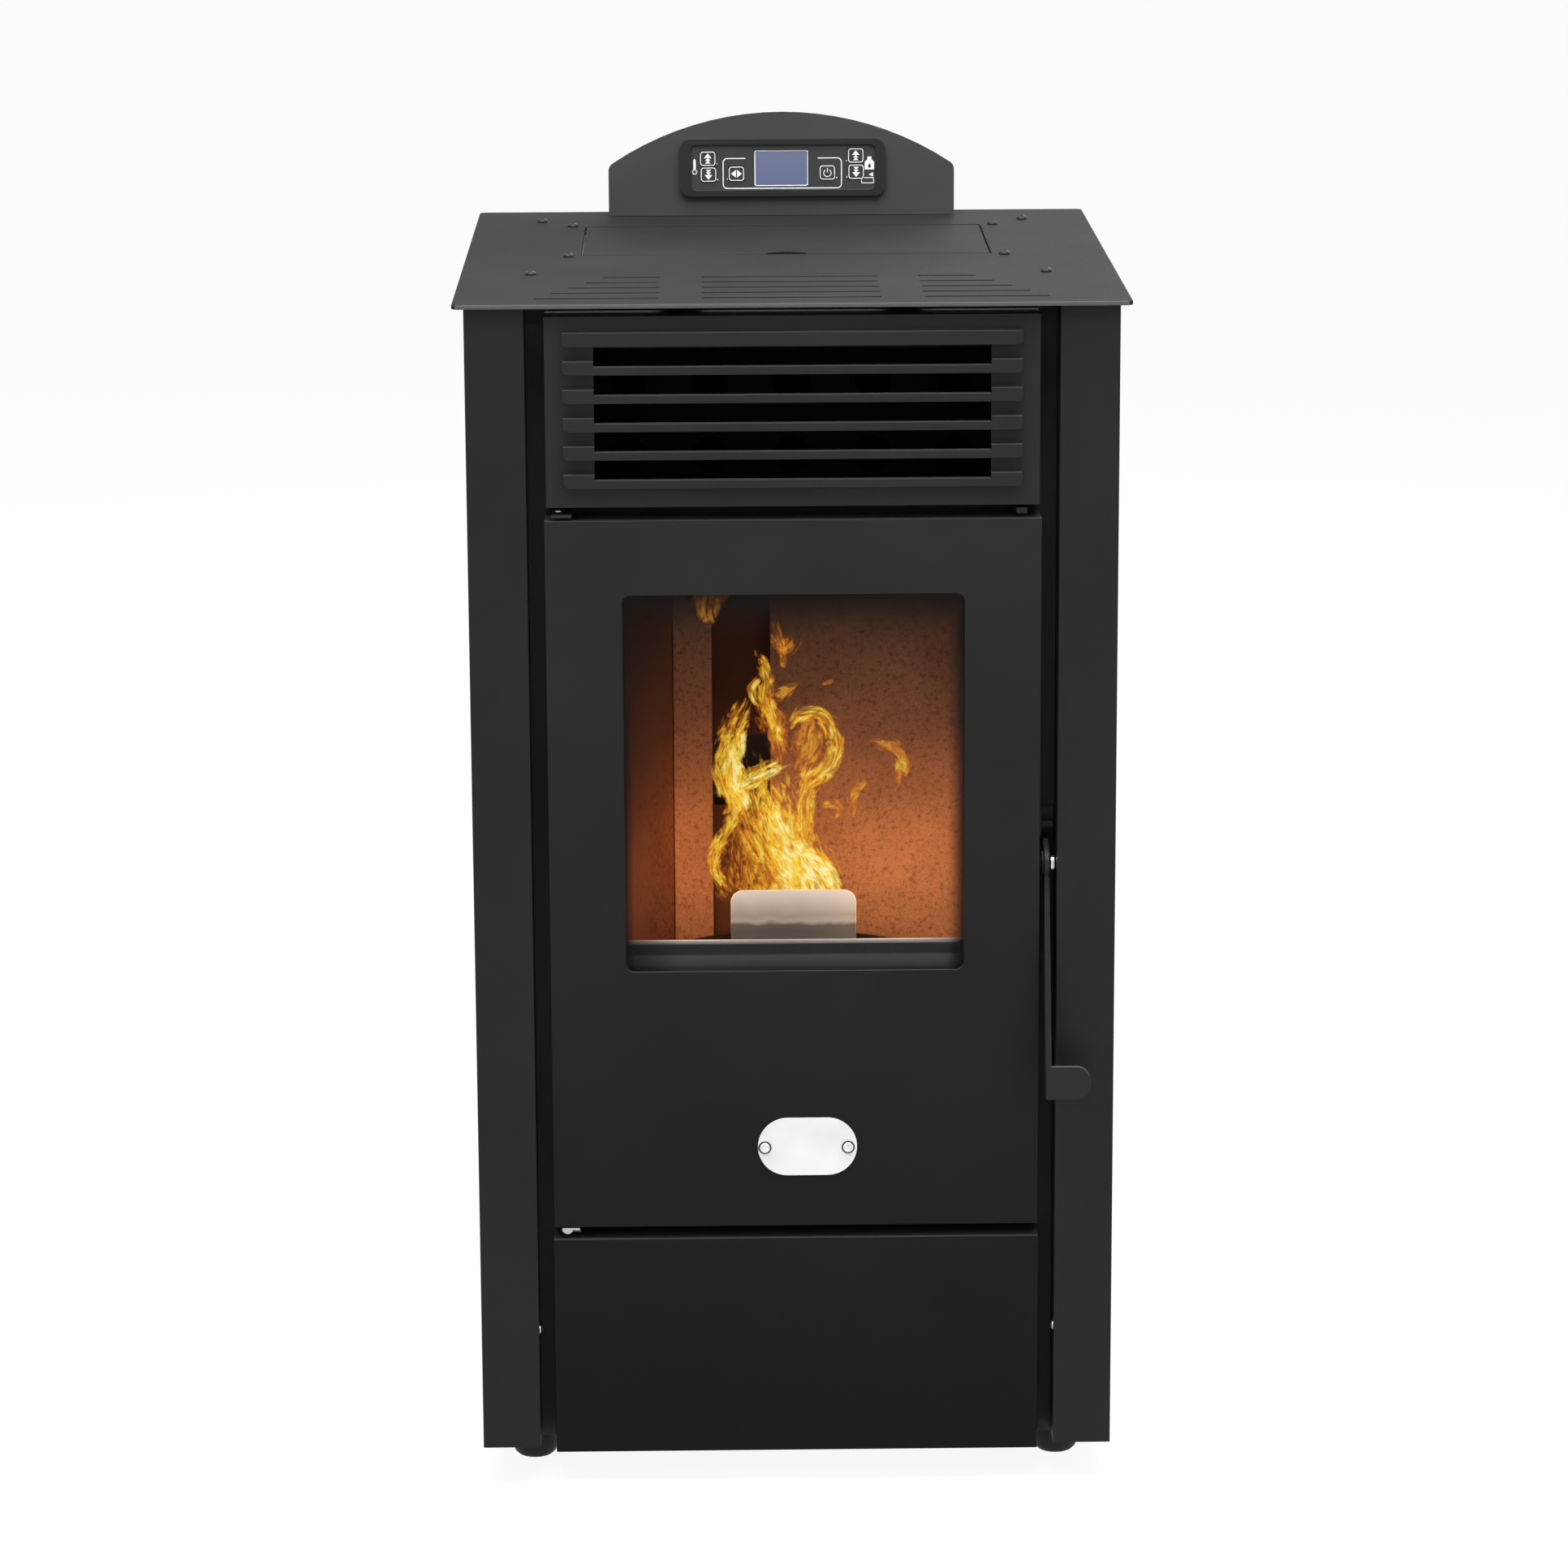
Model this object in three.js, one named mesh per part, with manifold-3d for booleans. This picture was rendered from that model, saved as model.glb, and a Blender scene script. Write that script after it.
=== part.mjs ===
// Free-standing pellet stove. Millimetres, +Z up, front towards -Y, feet on Z = 0.
// Depths are measured from the front edge of the top plate; the stove group is then
// moved so that the origin lies under the middle of the stove.
import * as THREE from 'three';
import { mergeVertices } from 'three/addons/utils/BufferGeometryUtils.js';
import Module from 'manifold-3d';

const wasm = await Module();
wasm.setup();

// ---- Driving dimensions -------------------------------------------------------------
const GAP = 0.3; // between parts that are seated on each other
const CLEAR = 0.5; // around parts that turn or slide
const SHEET = 2; // casing sheet

const PLATE = { width: 460, depth: 505, top: 844, thick: 3, corner: 5 };
const plateBottom = PLATE.top - PLATE.thick;
const SLOTS = { rows: 5, pitch: 26, first: 30, width: 4.5, middle: 61, inner: 90.3, reach: 130, slope: 11.3 };
const OVERHANG = 8; // top plate beyond the side and rear panels
const bodyHalf = PLATE.width / 2 - OVERHANG;
const bodyBack = PLATE.depth - OVERHANG;
const innerHalf = bodyHalf - SHEET - GAP;
const FOOT = { height: 24, radius: 16.5, sole: 12, inset: 34.5, front: 76, fromBack: 60 };
const SIDE = { front: 6, stripWidth: 40.5, bottom: 28.8 };
const stripInner = bodyHalf - SIDE.stripWidth;
const REVEAL = 12; // dark recess between the door and each side strip
const doorHalf = stripInner - REVEAL;
const FRAME = { front: 44, thick: 3 };
const BASE = { thick: 2.5, flange: 20 };
const PANEL = { front: 8 }; // front plane of grille, door and lower panel

const DOOR = { bottom: 191.5, top: 694.3, depth: 28 };
const REVEALS = { plate: 6.3, grille: 9.7, lower: 9.2 }; // gaps below the plate, the grille and the door
const GRILLE = { halfWidth: doorHalf - 1.5, bottom: DOOR.top + REVEALS.grille,
  top: plateBottom - REVEALS.plate };
const LOUVRE = { count: 6, pitch: 19.4, top: GRILLE.top - 10.7, height: 9.2, lip: 5.4, inset: 12, proud: 5.5,
  corner: 4 };
const louvreHalf = GRILLE.halfWidth - LOUVRE.inset;
const windowHalf = louvreHalf - 21.3; // of the slots between the louvres
const LOWER = { halfWidth: doorHalf + 1, top: DOOR.bottom - REVEALS.lower };
const WINDOW = { halfWidth: doorHalf - 52.2, bottom: 376.3, top: 642.8, corner: 6 };
const GLASS = { thick: 4, lap: 8 };
const LEDGE = { height: 23, upper: 9.8, depth: 7, step: 2.4 };
const GASKET = { width: 9, thick: 7, lap: 7 };
const DOOR_SHEET = { thick: 2.5, collar: 2.5, margin: 6 };
const HINGE = { x: 9.5 - doorHalf, y: 22, pin: 3, leaf: 14, sheet: 2, drop: 9, lift: 2.2, head: 4.5,
  headThick: 1.6 };
const BADGE = { x: 8.2, z: 249.5, width: 69.3, height: 41.5, thick: 1.5 };

const LEVER = { inner: doorHalf + 3.5, thick: 4, y: 22, z: 449, eye: 10.7, bar: 12, reach: 159 };
const TAB = { y: -22, width: 31, height: 24, corner: 10 };
const PIVOT = { radius: 4, head: 6, headThick: 3.4 };
const KEEPER = { above: 23.6, y: 36, pin: 3, sheet: 3, height: 18 };

const LID = { halfWidth: 146.5, length: 160, fromBack: 93, tail: 22, pin: 1.2, pinLength: 3, finger: 15,
  gap: 1, backGap: 4 };
const lidBack = PLATE.depth - LID.fromBack;
const lidFront = lidBack - LID.length;
const lidPivot = lidBack - LID.tail;

// How far each inner piece lies behind the fire chamber's back, or in front of its neighbour.
const BEHIND = { exhaust: 80, duct: 122, fan: 140, chute: 62, pipe: 31, flue: 48 };
const AHEAD = { firebox: 12, liner: 44, baffle: 24, drawer: 56, neck: 37, shield: 12 };
const FIREBOX = { halfWidth: doorHalf - 4.5, bottom: 200, top: plateBottom - 26,
  back: lidFront - AHEAD.firebox, wall: 3 };
const MOUTH = { halfWidth: doorHalf - 19.5, top: DOOR.top - 14.3 };
const LINER = { front: 52, face: FIREBOX.back - AHEAD.liner, thick: 8, top: 655, taper: 66 };
const chamber = LINER.face - LINER.front;
const SHELF = { top: 345, thick: 3, under: 9 };
const GROOVE = { width: 42, depth: 12 };
const BAFFLE = { thick: 10, back: LINER.face - AHEAD.baffle };
const DISH = { clear: 3.2, front: 54, thick: 3, rim: 4, rimHeight: 8 };
// The dish touches neither the back liner nor the slanting left one.
const slant = Math.hypot(LINER.taper, chamber);
const dishRoom = chamber * MOUTH.halfWidth - (chamber - GAP) * LINER.taper - slant * DISH.clear;
const dishRadius = dishRoom / (slant - LINER.taper);
const dishCentre = LINER.face - GAP - dishRadius;
const POT = { half: 38, lead: 5 / 36, share: 19 / 36, bottom: 318, wall: 4, flange: 8, lip: 3, hole: 3.5,
  holes: 3 };
const potFront = LINER.front + chamber * POT.lead;
const potBack = potFront + chamber * POT.share;
const SHIELD = { halfWidth: 44, front: potFront - AHEAD.shield, thick: 2, bottom: 358, bend: 400, top: 421,
  corner: 9, lean: 5 };
const AIRBOX = { bottom: 290, wall: 3, room: 8 };
const IGNITER = { radius: 5, x: 25, z: 335, head: 8, headLength: 12 };
const AIR_PIPE = { radius: 25, wall: 2, x: -20, z: 316, end: bodyBack + BEHIND.pipe, sides: 20 };
const EXCHANGER = { tube: 15, wall: 2, columns: 5, rows: 2, pitchZ: 50, sheet: 2, height: 108.7 };
const BLOW = { inset: 18, below: 5, above: 4 };
const blowHalf = FIREBOX.halfWidth - BLOW.inset;

const DRAWER = { halfWidth: MOUTH.halfWidth - 26, front: 58, depth: LINER.face - AHEAD.drawer, height: 48,
  wall: 2, grip: 14 };

const FLUE = { radius: 40, wall: 2, x: 80, z: 203, end: bodyBack + BEHIND.flue, sides: 32, collar: 15 };
const EXHAUST = { y: FIREBOX.back + BEHIND.exhaust, radius: 72, width: 60, wall: 3, inlet: 30, wheel: 54,
  wheelWidth: 36 };
const DUCT = { width: 50, end: FIREBOX.back + BEHIND.duct, low: 206, high: 274, wall: 3 };
const MOTOR = { radius: 30, length: 52, shaft: 5 };
const FAN = { x: -105, y: FIREBOX.back + BEHIND.fan, z: 130, radius: 70, width: 90, wall: 2.5, inlet: 34,
  wheel: 56,
  wheelWidth: 70 };
const FAN_OUTLET = { depth: 52, height: 105 };
const WHEEL = { blades: 8, blade: 2.5, hub: 12, disc: 2.5 };

const AUGER = { x: -35, y: lidBack, z: 438, tilt: 35, length: 160, tube: 30, wall: 3, screw: 25, shaft: 8,
  pitch: 46 };
const CHUTE = { half: 20, wall: 2, low: AUGER.z + 10, mouth: 52, back: FIREBOX.back + BEHIND.chute,
  height: 124, ramp: 54,
  slope: 24 };
const HOPPER = { wall: 2, rim: 8, mid: plateBottom - 181, neck: AUGER.z + 86, neckHalf: 30,
  neckY: AUGER.y - AHEAD.neck,
  neckLength: 52, neckHeight: 24, lidSeat: 3 };
const GEARBOX = { width: 72, height: 58, length: 34, motor: 24, motorLength: 46 };

const CONSOLE = { front: PLATE.depth - 30, depth: 28, halfWidth: 131, shoulder: 38, height: 78.5, round: 7,
  inset: 4 };
const BEZEL = { left: -77, right: 78.5, low: 15, high: 58.5, corner: 8, proud: 3.3 };
const RECESS = { left: -68.5, right: 71, low: 19.8, high: 54.2, corner: 4, floor: 1.6 };
const DISPLAY = { left: -20.5, right: 20.2, low: 22.7, high: 49.6 };
const KEY = { width: 11.6, height: 10.6, proud: 0.6, travel: 0.4 };
const KEY_PLACES = [[-55.7, 43.7], [-55.2, 31.7], [-34, 32.2], [34.9, 32.7], [56.4, 45.5], [56.7, 33.2]];
const BOARD = { thick: 1.6, behind: 3, relay: 28, chip: 26, chipEdge: 12, relayHeight: 11, chipHeight: 8 };
const SOCKET = { x: 72 - bodyHalf, z: 330, width: 27, height: 20, depth: 16, rim: 2, margin: 3.5, border: 8,
  corner: 4 };
const ROCKER = { width: 18, height: 12, depth: 9, above: 28, swing: 1.2 };
const REAR = { inset: 1, flange: 14, slots: 6, pitch: 14, slotWidth: 6, slotLength: 100 };

// ---- Derived places -----------------------------------------------------------------
const casingTop = plateBottom - GAP;
const frameBack = FRAME.front + FRAME.thick;
const boxFront = frameBack + GAP;
const panelBack = FRAME.front - GAP;
const baseBottom = FOOT.height + GAP;
const boxInside = FIREBOX.halfWidth - FIREBOX.wall;
const boxRear = FIREBOX.back - FIREBOX.wall;
const mouthBottom = FIREBOX.bottom + FIREBOX.wall;
const exchangerTop = FIREBOX.top - FIREBOX.wall - GAP;
const exchangerLow = exchangerTop - EXCHANGER.height;
const blowBottom = exchangerLow + BLOW.below;
const blowTop = exchangerTop - BLOW.above;
const ductLeft = FLUE.x + EXHAUST.width / 2 + GAP;
const ductRight = ductLeft + DUCT.width;
const doorBack = PANEL.front + DOOR.depth;
const glassFront = PANEL.front + SHEET + GAP;
const glassBack = glassFront + GLASS.thick;
const linerBackLeft = LINER.taper - MOUTH.halfWidth;
const grooveLeft = AUGER.x - GROOVE.width / 2;
const grooveRight = AUGER.x + GROOVE.width / 2;
const dishBottom = SHELF.top + GAP;
const dishTop = dishBottom + DISH.thick;
const potTop = SHIELD.bend - 8;
const holderHalf = POT.half + AIRBOX.room;
const holderFront = potFront - AIRBOX.room;
const holderBack = potBack + AIRBOX.room;
const rearPanelFront = bodyBack - SHEET - REAR.inset;
const inletLeft = SOCKET.x - SOCKET.width / 2 - SOCKET.rim;
const inletRight = SOCKET.x + SOCKET.width / 2 + SOCKET.rim;
const inletLow = SOCKET.z - SOCKET.height / 2 - SOCKET.rim;
const inletHigh = SOCKET.z + ROCKER.above + ROCKER.height / 2 + SOCKET.rim;
const middleY = (TAB.y + FLUE.end) / 2;

// ---- Finishes -----------------------------------------------------------------------
const finish = (color, roughness, metalness) => new THREE.MeshStandardMaterial({ color, roughness,
  metalness });
const black = finish(0x2d2d2d, 0.55, 0.4);
const topPaint = finish(0x4a4a4a, 0.5, 0.4);
const frameBlack = finish(0x1a1a1a, 0.7, 0.3);
const steel = finish(0x8d8b87, 0.45, 0.9);
const stainless = finish(0xb0a598, 0.35, 1);
const castIron = finish(0x26221f, 0.8, 0.5);
const vermiculite = finish(0x9c6a4a, 0.95, 0);
const glassTint = finish(0x30302e, 0.1, 0);
const rope = finish(0x55534e, 0.95, 0);
const rubber = finish(0x0c0c0c, 0.8, 0);
const plastic = finish(0x2e2e2e, 0.5, 0);
const displayBlue = finish(0x5c6a96, 0.3, 0);
const badgeSilver = finish(0xe6e6e4, 0.3, 0.6);
const boardGreen = finish(0x1f5a38, 0.6, 0);

// ---- Geometry helpers ---------------------------------------------------------------
const stove = new THREE.Group();
stove.position.y = -middleY;

function piece(name, geometry, material, parent = stove) {
  const mesh = new THREE.Mesh(geometry, material);
  mesh.name = name;
  parent.add(mesh);
  return mesh;
}

function toSolid(geometry) {
  const bare = geometry.index ? geometry.toNonIndexed() : geometry.clone();
  bare.deleteAttribute('normal');
  bare.deleteAttribute('uv');
  const merged = mergeVertices(bare, 1e-4);
  const vertProperties = new Float32Array(merged.attributes.position.array);
  const triVerts = new Uint32Array(merged.index.array);
  return new wasm.Manifold(new wasm.Mesh({ numProp: 3, vertProperties, triVerts }));
}

function toGeometry(solid) {
  const mesh = solid.getMesh();
  const geometry = new THREE.BufferGeometry();
  geometry.setAttribute('position', new THREE.BufferAttribute(new Float32Array(mesh.vertProperties), 3));
  geometry.setIndex(new THREE.BufferAttribute(new Uint32Array(mesh.triVerts), 1));
  return geometry;
}

// Joins the geometries in add, then takes away those in remove.
function build(add, remove = []) {
  let solid = toSolid(add[0]);
  for (const extra of add.slice(1)) {
    solid = solid.add(toSolid(extra));
  }
  for (const tool of remove) {
    solid = solid.subtract(toSolid(tool));
  }
  return toGeometry(solid);
}

function box(x0, x1, y0, y1, z0, z1) {
  const geometry = new THREE.BoxGeometry(x1 - x0, y1 - y0, z1 - z0);
  return geometry.translate((x0 + x1) / 2, (y0 + y1) / 2, (z0 + z1) / 2);
}

// A four-sided funnel between a rectangle at z0 and another at z1.
function funnel([ax0, ax1, ay0, ay1], z0, [bx0, bx1, by0, by1], z1) {
  const geometry = new THREE.BoxGeometry(1, 1, 1);
  const place = geometry.attributes.position;
  for (let i = 0; i < place.count; i += 1) {
    const high = place.getZ(i) > 0;
    const right = place.getX(i) > 0;
    const back = place.getY(i) > 0;
    const x = high ? (right ? bx1 : bx0) : (right ? ax1 : ax0);
    const y = high ? (back ? by1 : by0) : (back ? ay1 : ay0);
    place.setXYZ(i, x, y, high ? z1 : z0);
  }
  return geometry;
}

const polygon = (points) => new THREE.Shape(points.map(([x, y]) => new THREE.Vector2(x, y)));

function roundedRect(x0, x1, y0, y1, r) {
  const shape = new THREE.Shape();
  shape.absarc(x1 - r, y0 + r, r, -Math.PI / 2, 0);
  shape.absarc(x1 - r, y1 - r, r, 0, Math.PI / 2);
  shape.absarc(x0 + r, y1 - r, r, Math.PI / 2, Math.PI);
  shape.absarc(x0 + r, y0 + r, r, Math.PI, Math.PI * 1.5);
  return shape;
}

function extrude(shape, depth, curveSegments = 4) {
  return new THREE.ExtrudeGeometry(shape, { depth, bevelEnabled: false, curveSegments });
}

// Outline drawn in X and Y, from z0 up to z1.
const extrudeZ = (shape, z0, z1, segments) => extrude(shape, z1 - z0, segments).translate(0, 0, z0);

// Outline drawn in X and Z, from y0 back to y1.
function extrudeY(shape, y0, y1, segments) {
  return extrude(shape, y1 - y0, segments).rotateX(Math.PI / 2).translate(0, y1, 0);
}

// Outline drawn in Y and Z, from x0 to x1.
function extrudeX(shape, x0, x1, segments) {
  const turn = new THREE.Matrix4().makeBasis(
    new THREE.Vector3(0, 1, 0), new THREE.Vector3(0, 0, 1), new THREE.Vector3(1, 0, 0));
  return extrude(shape, x1 - x0, segments).applyMatrix4(turn).translate(x0, 0, 0);
}

function rodX(radius, x0, x1, y, z, sides = 24) {
  const rod = new THREE.CylinderGeometry(radius, radius, x1 - x0, sides);
  return rod.rotateZ(Math.PI / 2).translate((x0 + x1) / 2, y, z);
}

function rodY(radius, y0, y1, x, z, sides = 24) {
  return new THREE.CylinderGeometry(radius, radius, y1 - y0, sides).translate(x, (y0 + y1) / 2, z);
}

function rodZ(radius, z0, z1, x, y, sides = 24) {
  const rod = new THREE.CylinderGeometry(radius, radius, z1 - z0, sides);
  return rod.rotateX(Math.PI / 2).translate(x, y, (z0 + z1) / 2);
}

// A tray with its floor at the front: face sheet and four flanges running back.
function pan(halfWidth, z0, z1, back, holes = []) {
  const inside = box(-halfWidth + SHEET, halfWidth - SHEET, PANEL.front + SHEET, back + 1,
    z0 + SHEET, z1 - SHEET);
  return build([box(-halfWidth, halfWidth, PANEL.front, back, z0, z1)], [inside, ...holes]);
}

// ---- Casing -------------------------------------------------------------------------
function makeFeet() {
  const { height, radius, sole } = FOOT;
  const profile = [[0, 0], [sole, 0], [radius - 1.5, 3], [radius, 8], [radius, 18], [sole + 1, height],
    [0, height]];
  const shape = profile.map(([r, z]) => new THREE.Vector2(r, z));
  const x = bodyHalf - FOOT.inset;
  const rear = PLATE.depth - FOOT.fromBack;
  const corners = [['front_left', -x, FOOT.front], ['front_right', x, FOOT.front],
    ['rear_left', -x, rear], ['rear_right', x, rear]];
  for (const [corner, footX, footY] of corners) {
    const foot = piece(`foot_${corner}`, new THREE.LatheGeometry(shape, 20).rotateX(Math.PI / 2), rubber);
    foot.position.set(footX, footY, 0);
  }
}

function makeBasePlate() {
  const top = baseBottom + BASE.thick;
  const back = rearPanelFront - GAP;
  const tray = [box(-innerHalf, innerHalf, boxFront, back, baseBottom, top)];
  for (const side of [-1, 1]) {
    const outer = side * innerHalf;
    const inner = side * (innerHalf - BASE.thick);
    tray.push(box(Math.min(outer, inner), Math.max(outer, inner), boxFront, back, baseBottom,
      top + BASE.flange));
  }
  piece('base_plate', build(tray), black);
}

function makeSidePanel(name, side) {
  const outline = [[bodyHalf, SIDE.front], [bodyHalf, bodyBack], [bodyHalf - SHEET, bodyBack],
    [bodyHalf - SHEET, SIDE.front + SHEET], [stripInner + SHEET, SIDE.front + SHEET],
    [stripInner + SHEET, panelBack], [stripInner, panelBack], [stripInner, SIDE.front]];
  const shape = polygon(outline.map(([x, y]) => [side * x, y]));
  piece(name, extrudeZ(shape, SIDE.bottom, casingTop), black);
}

function makeRearPanel() {
  const back = rearPanelFront + SHEET;
  const low = baseBottom;
  const plate = box(-innerHalf, innerHalf, rearPanelFront, back, low, casingTop);
  const flangeFront = rearPanelFront - REAR.flange;
  const add = [plate];
  for (const side of [-1, 1]) {
    const outer = side * innerHalf;
    const inner = side * (innerHalf - SHEET);
    add.push(box(Math.min(outer, inner), Math.max(outer, inner), flangeFront, back,
      low + BASE.thick + BASE.flange + GAP, casingTop));
  }
  const cuts = [
    rodY(FLUE.radius + GAP, rearPanelFront - 1, back + 1, FLUE.x, FLUE.z, FLUE.sides),
    rodY(AIR_PIPE.radius + GAP, rearPanelFront - 1, back + 1, AIR_PIPE.x, AIR_PIPE.z, AIR_PIPE.sides),
    box(inletLeft - GAP, inletRight + GAP, rearPanelFront - 1, back + 1, inletLow - GAP, inletHigh + GAP),
  ];
  for (let i = 0; i < REAR.slots; i += 1) {
    const z = FAN.z + (i - (REAR.slots - 1) / 2) * REAR.pitch;
    cuts.push(box(FAN.x - REAR.slotLength / 2, FAN.x + REAR.slotLength / 2, rearPanelFront - 1, back + 1,
      z - REAR.slotWidth / 2, z + REAR.slotWidth / 2));
  }
  piece('rear_panel', build(add, cuts), black);
}

function makeTopPlate() {
  const half = PLATE.width / 2;
  const outline = roundedRect(-half, half, 0, PLATE.depth, PLATE.corner);
  const cuts = [];
  const through = (x0, x1, y0, y1) => cuts.push(box(x0, x1, y0, y1, plateBottom - 1, PLATE.top + 1));
  for (let row = 0; row < SLOTS.rows; row += 1) {
    const y0 = SLOTS.first + row * SLOTS.pitch - SLOTS.width / 2;
    const y1 = y0 + SLOTS.width;
    const outer = SLOTS.reach + (SLOTS.rows - 1 - row) * SLOTS.slope;
    through(-SLOTS.middle, SLOTS.middle, y0, y1);
    through(-outer, -SLOTS.inner, y0, y1);
    through(SLOTS.inner, outer, y0, y1);
  }
  const lidHalf = LID.halfWidth + LID.gap;
  const notchHalf = LID.halfWidth + LID.pinLength + CLEAR;
  const notchReach = LID.pin + CLEAR;
  through(-lidHalf, lidHalf, lidFront - LID.gap, lidBack + LID.backGap);
  through(-notchHalf, notchHalf, lidPivot - notchReach, lidPivot + notchReach);
  piece('top_plate', build([extrudeZ(outline, plateBottom, PLATE.top)], cuts), topPaint);
}

function makeFrontFrame() {
  const { front } = FRAME;
  const plate = box(-innerHalf, innerHalf, front, frameBack, baseBottom, casingTop);
  const cuts = [
    box(-MOUTH.halfWidth, MOUTH.halfWidth, front - 1, frameBack + 1, mouthBottom, MOUTH.top),
    box(-blowHalf, blowHalf, front - 1, frameBack + 1, blowBottom, blowTop),
  ];
  piece('front_frame', build([plate], cuts), frameBlack);
}

function makeGrille() {
  const windows = [];
  const bars = [];
  for (let i = 0; i < LOUVRE.count; i += 1) {
    const top = LOUVRE.top - i * LOUVRE.pitch;
    const bottom = top - LOUVRE.height;
    const lipTop = bottom + LOUVRE.lip;
    const r = LOUVRE.corner;
    const half = louvreHalf;
    const shape = new THREE.Shape();
    shape.absarc(half - r, bottom + r, r, -Math.PI / 2, 0);
    shape.lineTo(half, top);
    if (i > 0) {
      shape.lineTo(windowHalf, top);
      shape.lineTo(windowHalf, lipTop);
      shape.lineTo(-windowHalf, lipTop);
      shape.lineTo(-windowHalf, top);
    }
    shape.lineTo(-half, top);
    shape.absarc(-half + r, bottom + r, r, Math.PI, Math.PI * 1.5);
    bars.push(extrudeY(shape, PANEL.front - LOUVRE.proud, PANEL.front));
    if (i > 0) {
      const above = top + LOUVRE.pitch - LOUVRE.height;
      windows.push(box(-windowHalf, windowHalf, PANEL.front - 1, PANEL.front + SHEET + 1, lipTop, above));
    }
  }
  const face = pan(GRILLE.halfWidth, GRILLE.bottom, GRILLE.top, panelBack, windows);
  piece('air_grille', build([face, ...bars]), black);
}

// ---- Door ---------------------------------------------------------------------------
function makeDoor() {
  const windowCut = extrudeY(roundedRect(-WINDOW.halfWidth, WINDOW.halfWidth, WINDOW.bottom, WINDOW.top,
    WINDOW.corner), PANEL.front - 1, PANEL.front + SHEET + 1);
  const pinHoles = [
    rodZ(HINGE.pin + CLEAR, DOOR.top - SHEET - 1, DOOR.top + 1, HINGE.x, HINGE.y, 16),
    rodZ(HINGE.pin + CLEAR, DOOR.bottom - 1, DOOR.bottom + SHEET + 1, HINGE.x, HINGE.y, 16),
  ];
  const screwHole = rodX(PIVOT.radius + GAP, doorHalf - SHEET - 1, doorHalf + 1, LEVER.y, LEVER.z, 16);
  piece('door_panel', pan(doorHalf, DOOR.bottom, DOOR.top, doorBack, [windowCut, ...pinHoles, screwHole]),
    black);

  const glassHalf = WINDOW.halfWidth + GLASS.lap;
  const glassLow = WINDOW.bottom - GLASS.lap;
  const glassHigh = WINDOW.top + GLASS.lap;
  piece('door_glass', box(-glassHalf, glassHalf, glassFront, glassBack, glassLow, glassHigh), glassTint);

  // Inner sheet with a collar that clamps the glass.
  const sheetHalf = doorHalf - SHEET - GAP;
  const sheetFront = doorBack - DOOR_SHEET.thick;
  const collarHalf = WINDOW.halfWidth + DOOR_SHEET.margin;
  const collarLow = WINDOW.bottom - DOOR_SHEET.margin;
  const collarHigh = WINDOW.top + DOOR_SHEET.margin;
  const inHalf = collarHalf - DOOR_SHEET.collar;
  const inLow = collarLow + DOOR_SHEET.collar;
  const inHigh = collarHigh - DOOR_SHEET.collar;
  piece('door_inner_frame', build([
    box(-sheetHalf, sheetHalf, sheetFront, doorBack, DOOR.bottom + SHEET + GAP, DOOR.top - SHEET - GAP),
    box(-collarHalf, collarHalf, glassBack + GAP, doorBack, collarLow, collarHigh),
  ], [
    box(-inHalf, inHalf, glassBack - 1, doorBack + 1, inLow, inHigh),
    rodZ(HINGE.pin + CLEAR, DOOR.bottom, DOOR.top, HINGE.x, HINGE.y, 16),
  ]), frameBlack);

  // Ledge across the foot of the window, held by the collar behind the glass.
  const ledgeHalf = inHalf - GAP;
  const ledgeLow = inLow + GAP;
  const ledgeFront = glassBack + GAP;
  const ledgeTop = ledgeLow + LEDGE.height;
  const ledgeSplit = ledgeTop - LEDGE.upper;
  piece('glass_ledge', extrudeX(polygon([[ledgeFront, ledgeLow], [ledgeFront + LEDGE.depth, ledgeLow],
    [ledgeFront + LEDGE.depth, ledgeTop], [ledgeFront + LEDGE.step, ledgeTop],
    [ledgeFront + LEDGE.step, ledgeSplit], [ledgeFront, ledgeSplit]]), -ledgeHalf, ledgeHalf), frameBlack);

  // Rope seal between the door and the front frame, around the fire opening.
  const sealFront = doorBack + GAP;
  const sealBack = sealFront + GASKET.thick;
  const sealHalf = MOUTH.halfWidth + GASKET.lap;
  const sealLow = mouthBottom - GASKET.lap;
  const sealHigh = MOUTH.top + GASKET.lap;
  piece('door_gasket', build([
    extrudeY(roundedRect(-sealHalf, sealHalf, sealLow, sealHigh, 12), sealFront, sealBack),
  ], [
    extrudeY(roundedRect(-sealHalf + GASKET.width, sealHalf - GASKET.width, sealLow + GASKET.width,
      sealHigh - GASKET.width, 6), sealFront - 1, sealBack + 1),
  ]), rope);

  const badgeBack = PANEL.front - GAP;
  const round = BADGE.height / 2;
  piece('badge_plate', extrudeY(roundedRect(BADGE.x - BADGE.width / 2, BADGE.x + BADGE.width / 2,
    BADGE.z - round, BADGE.z + round, round - 0.01), badgeBack - BADGE.thick, badgeBack, 8), badgeSilver);
}

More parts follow.
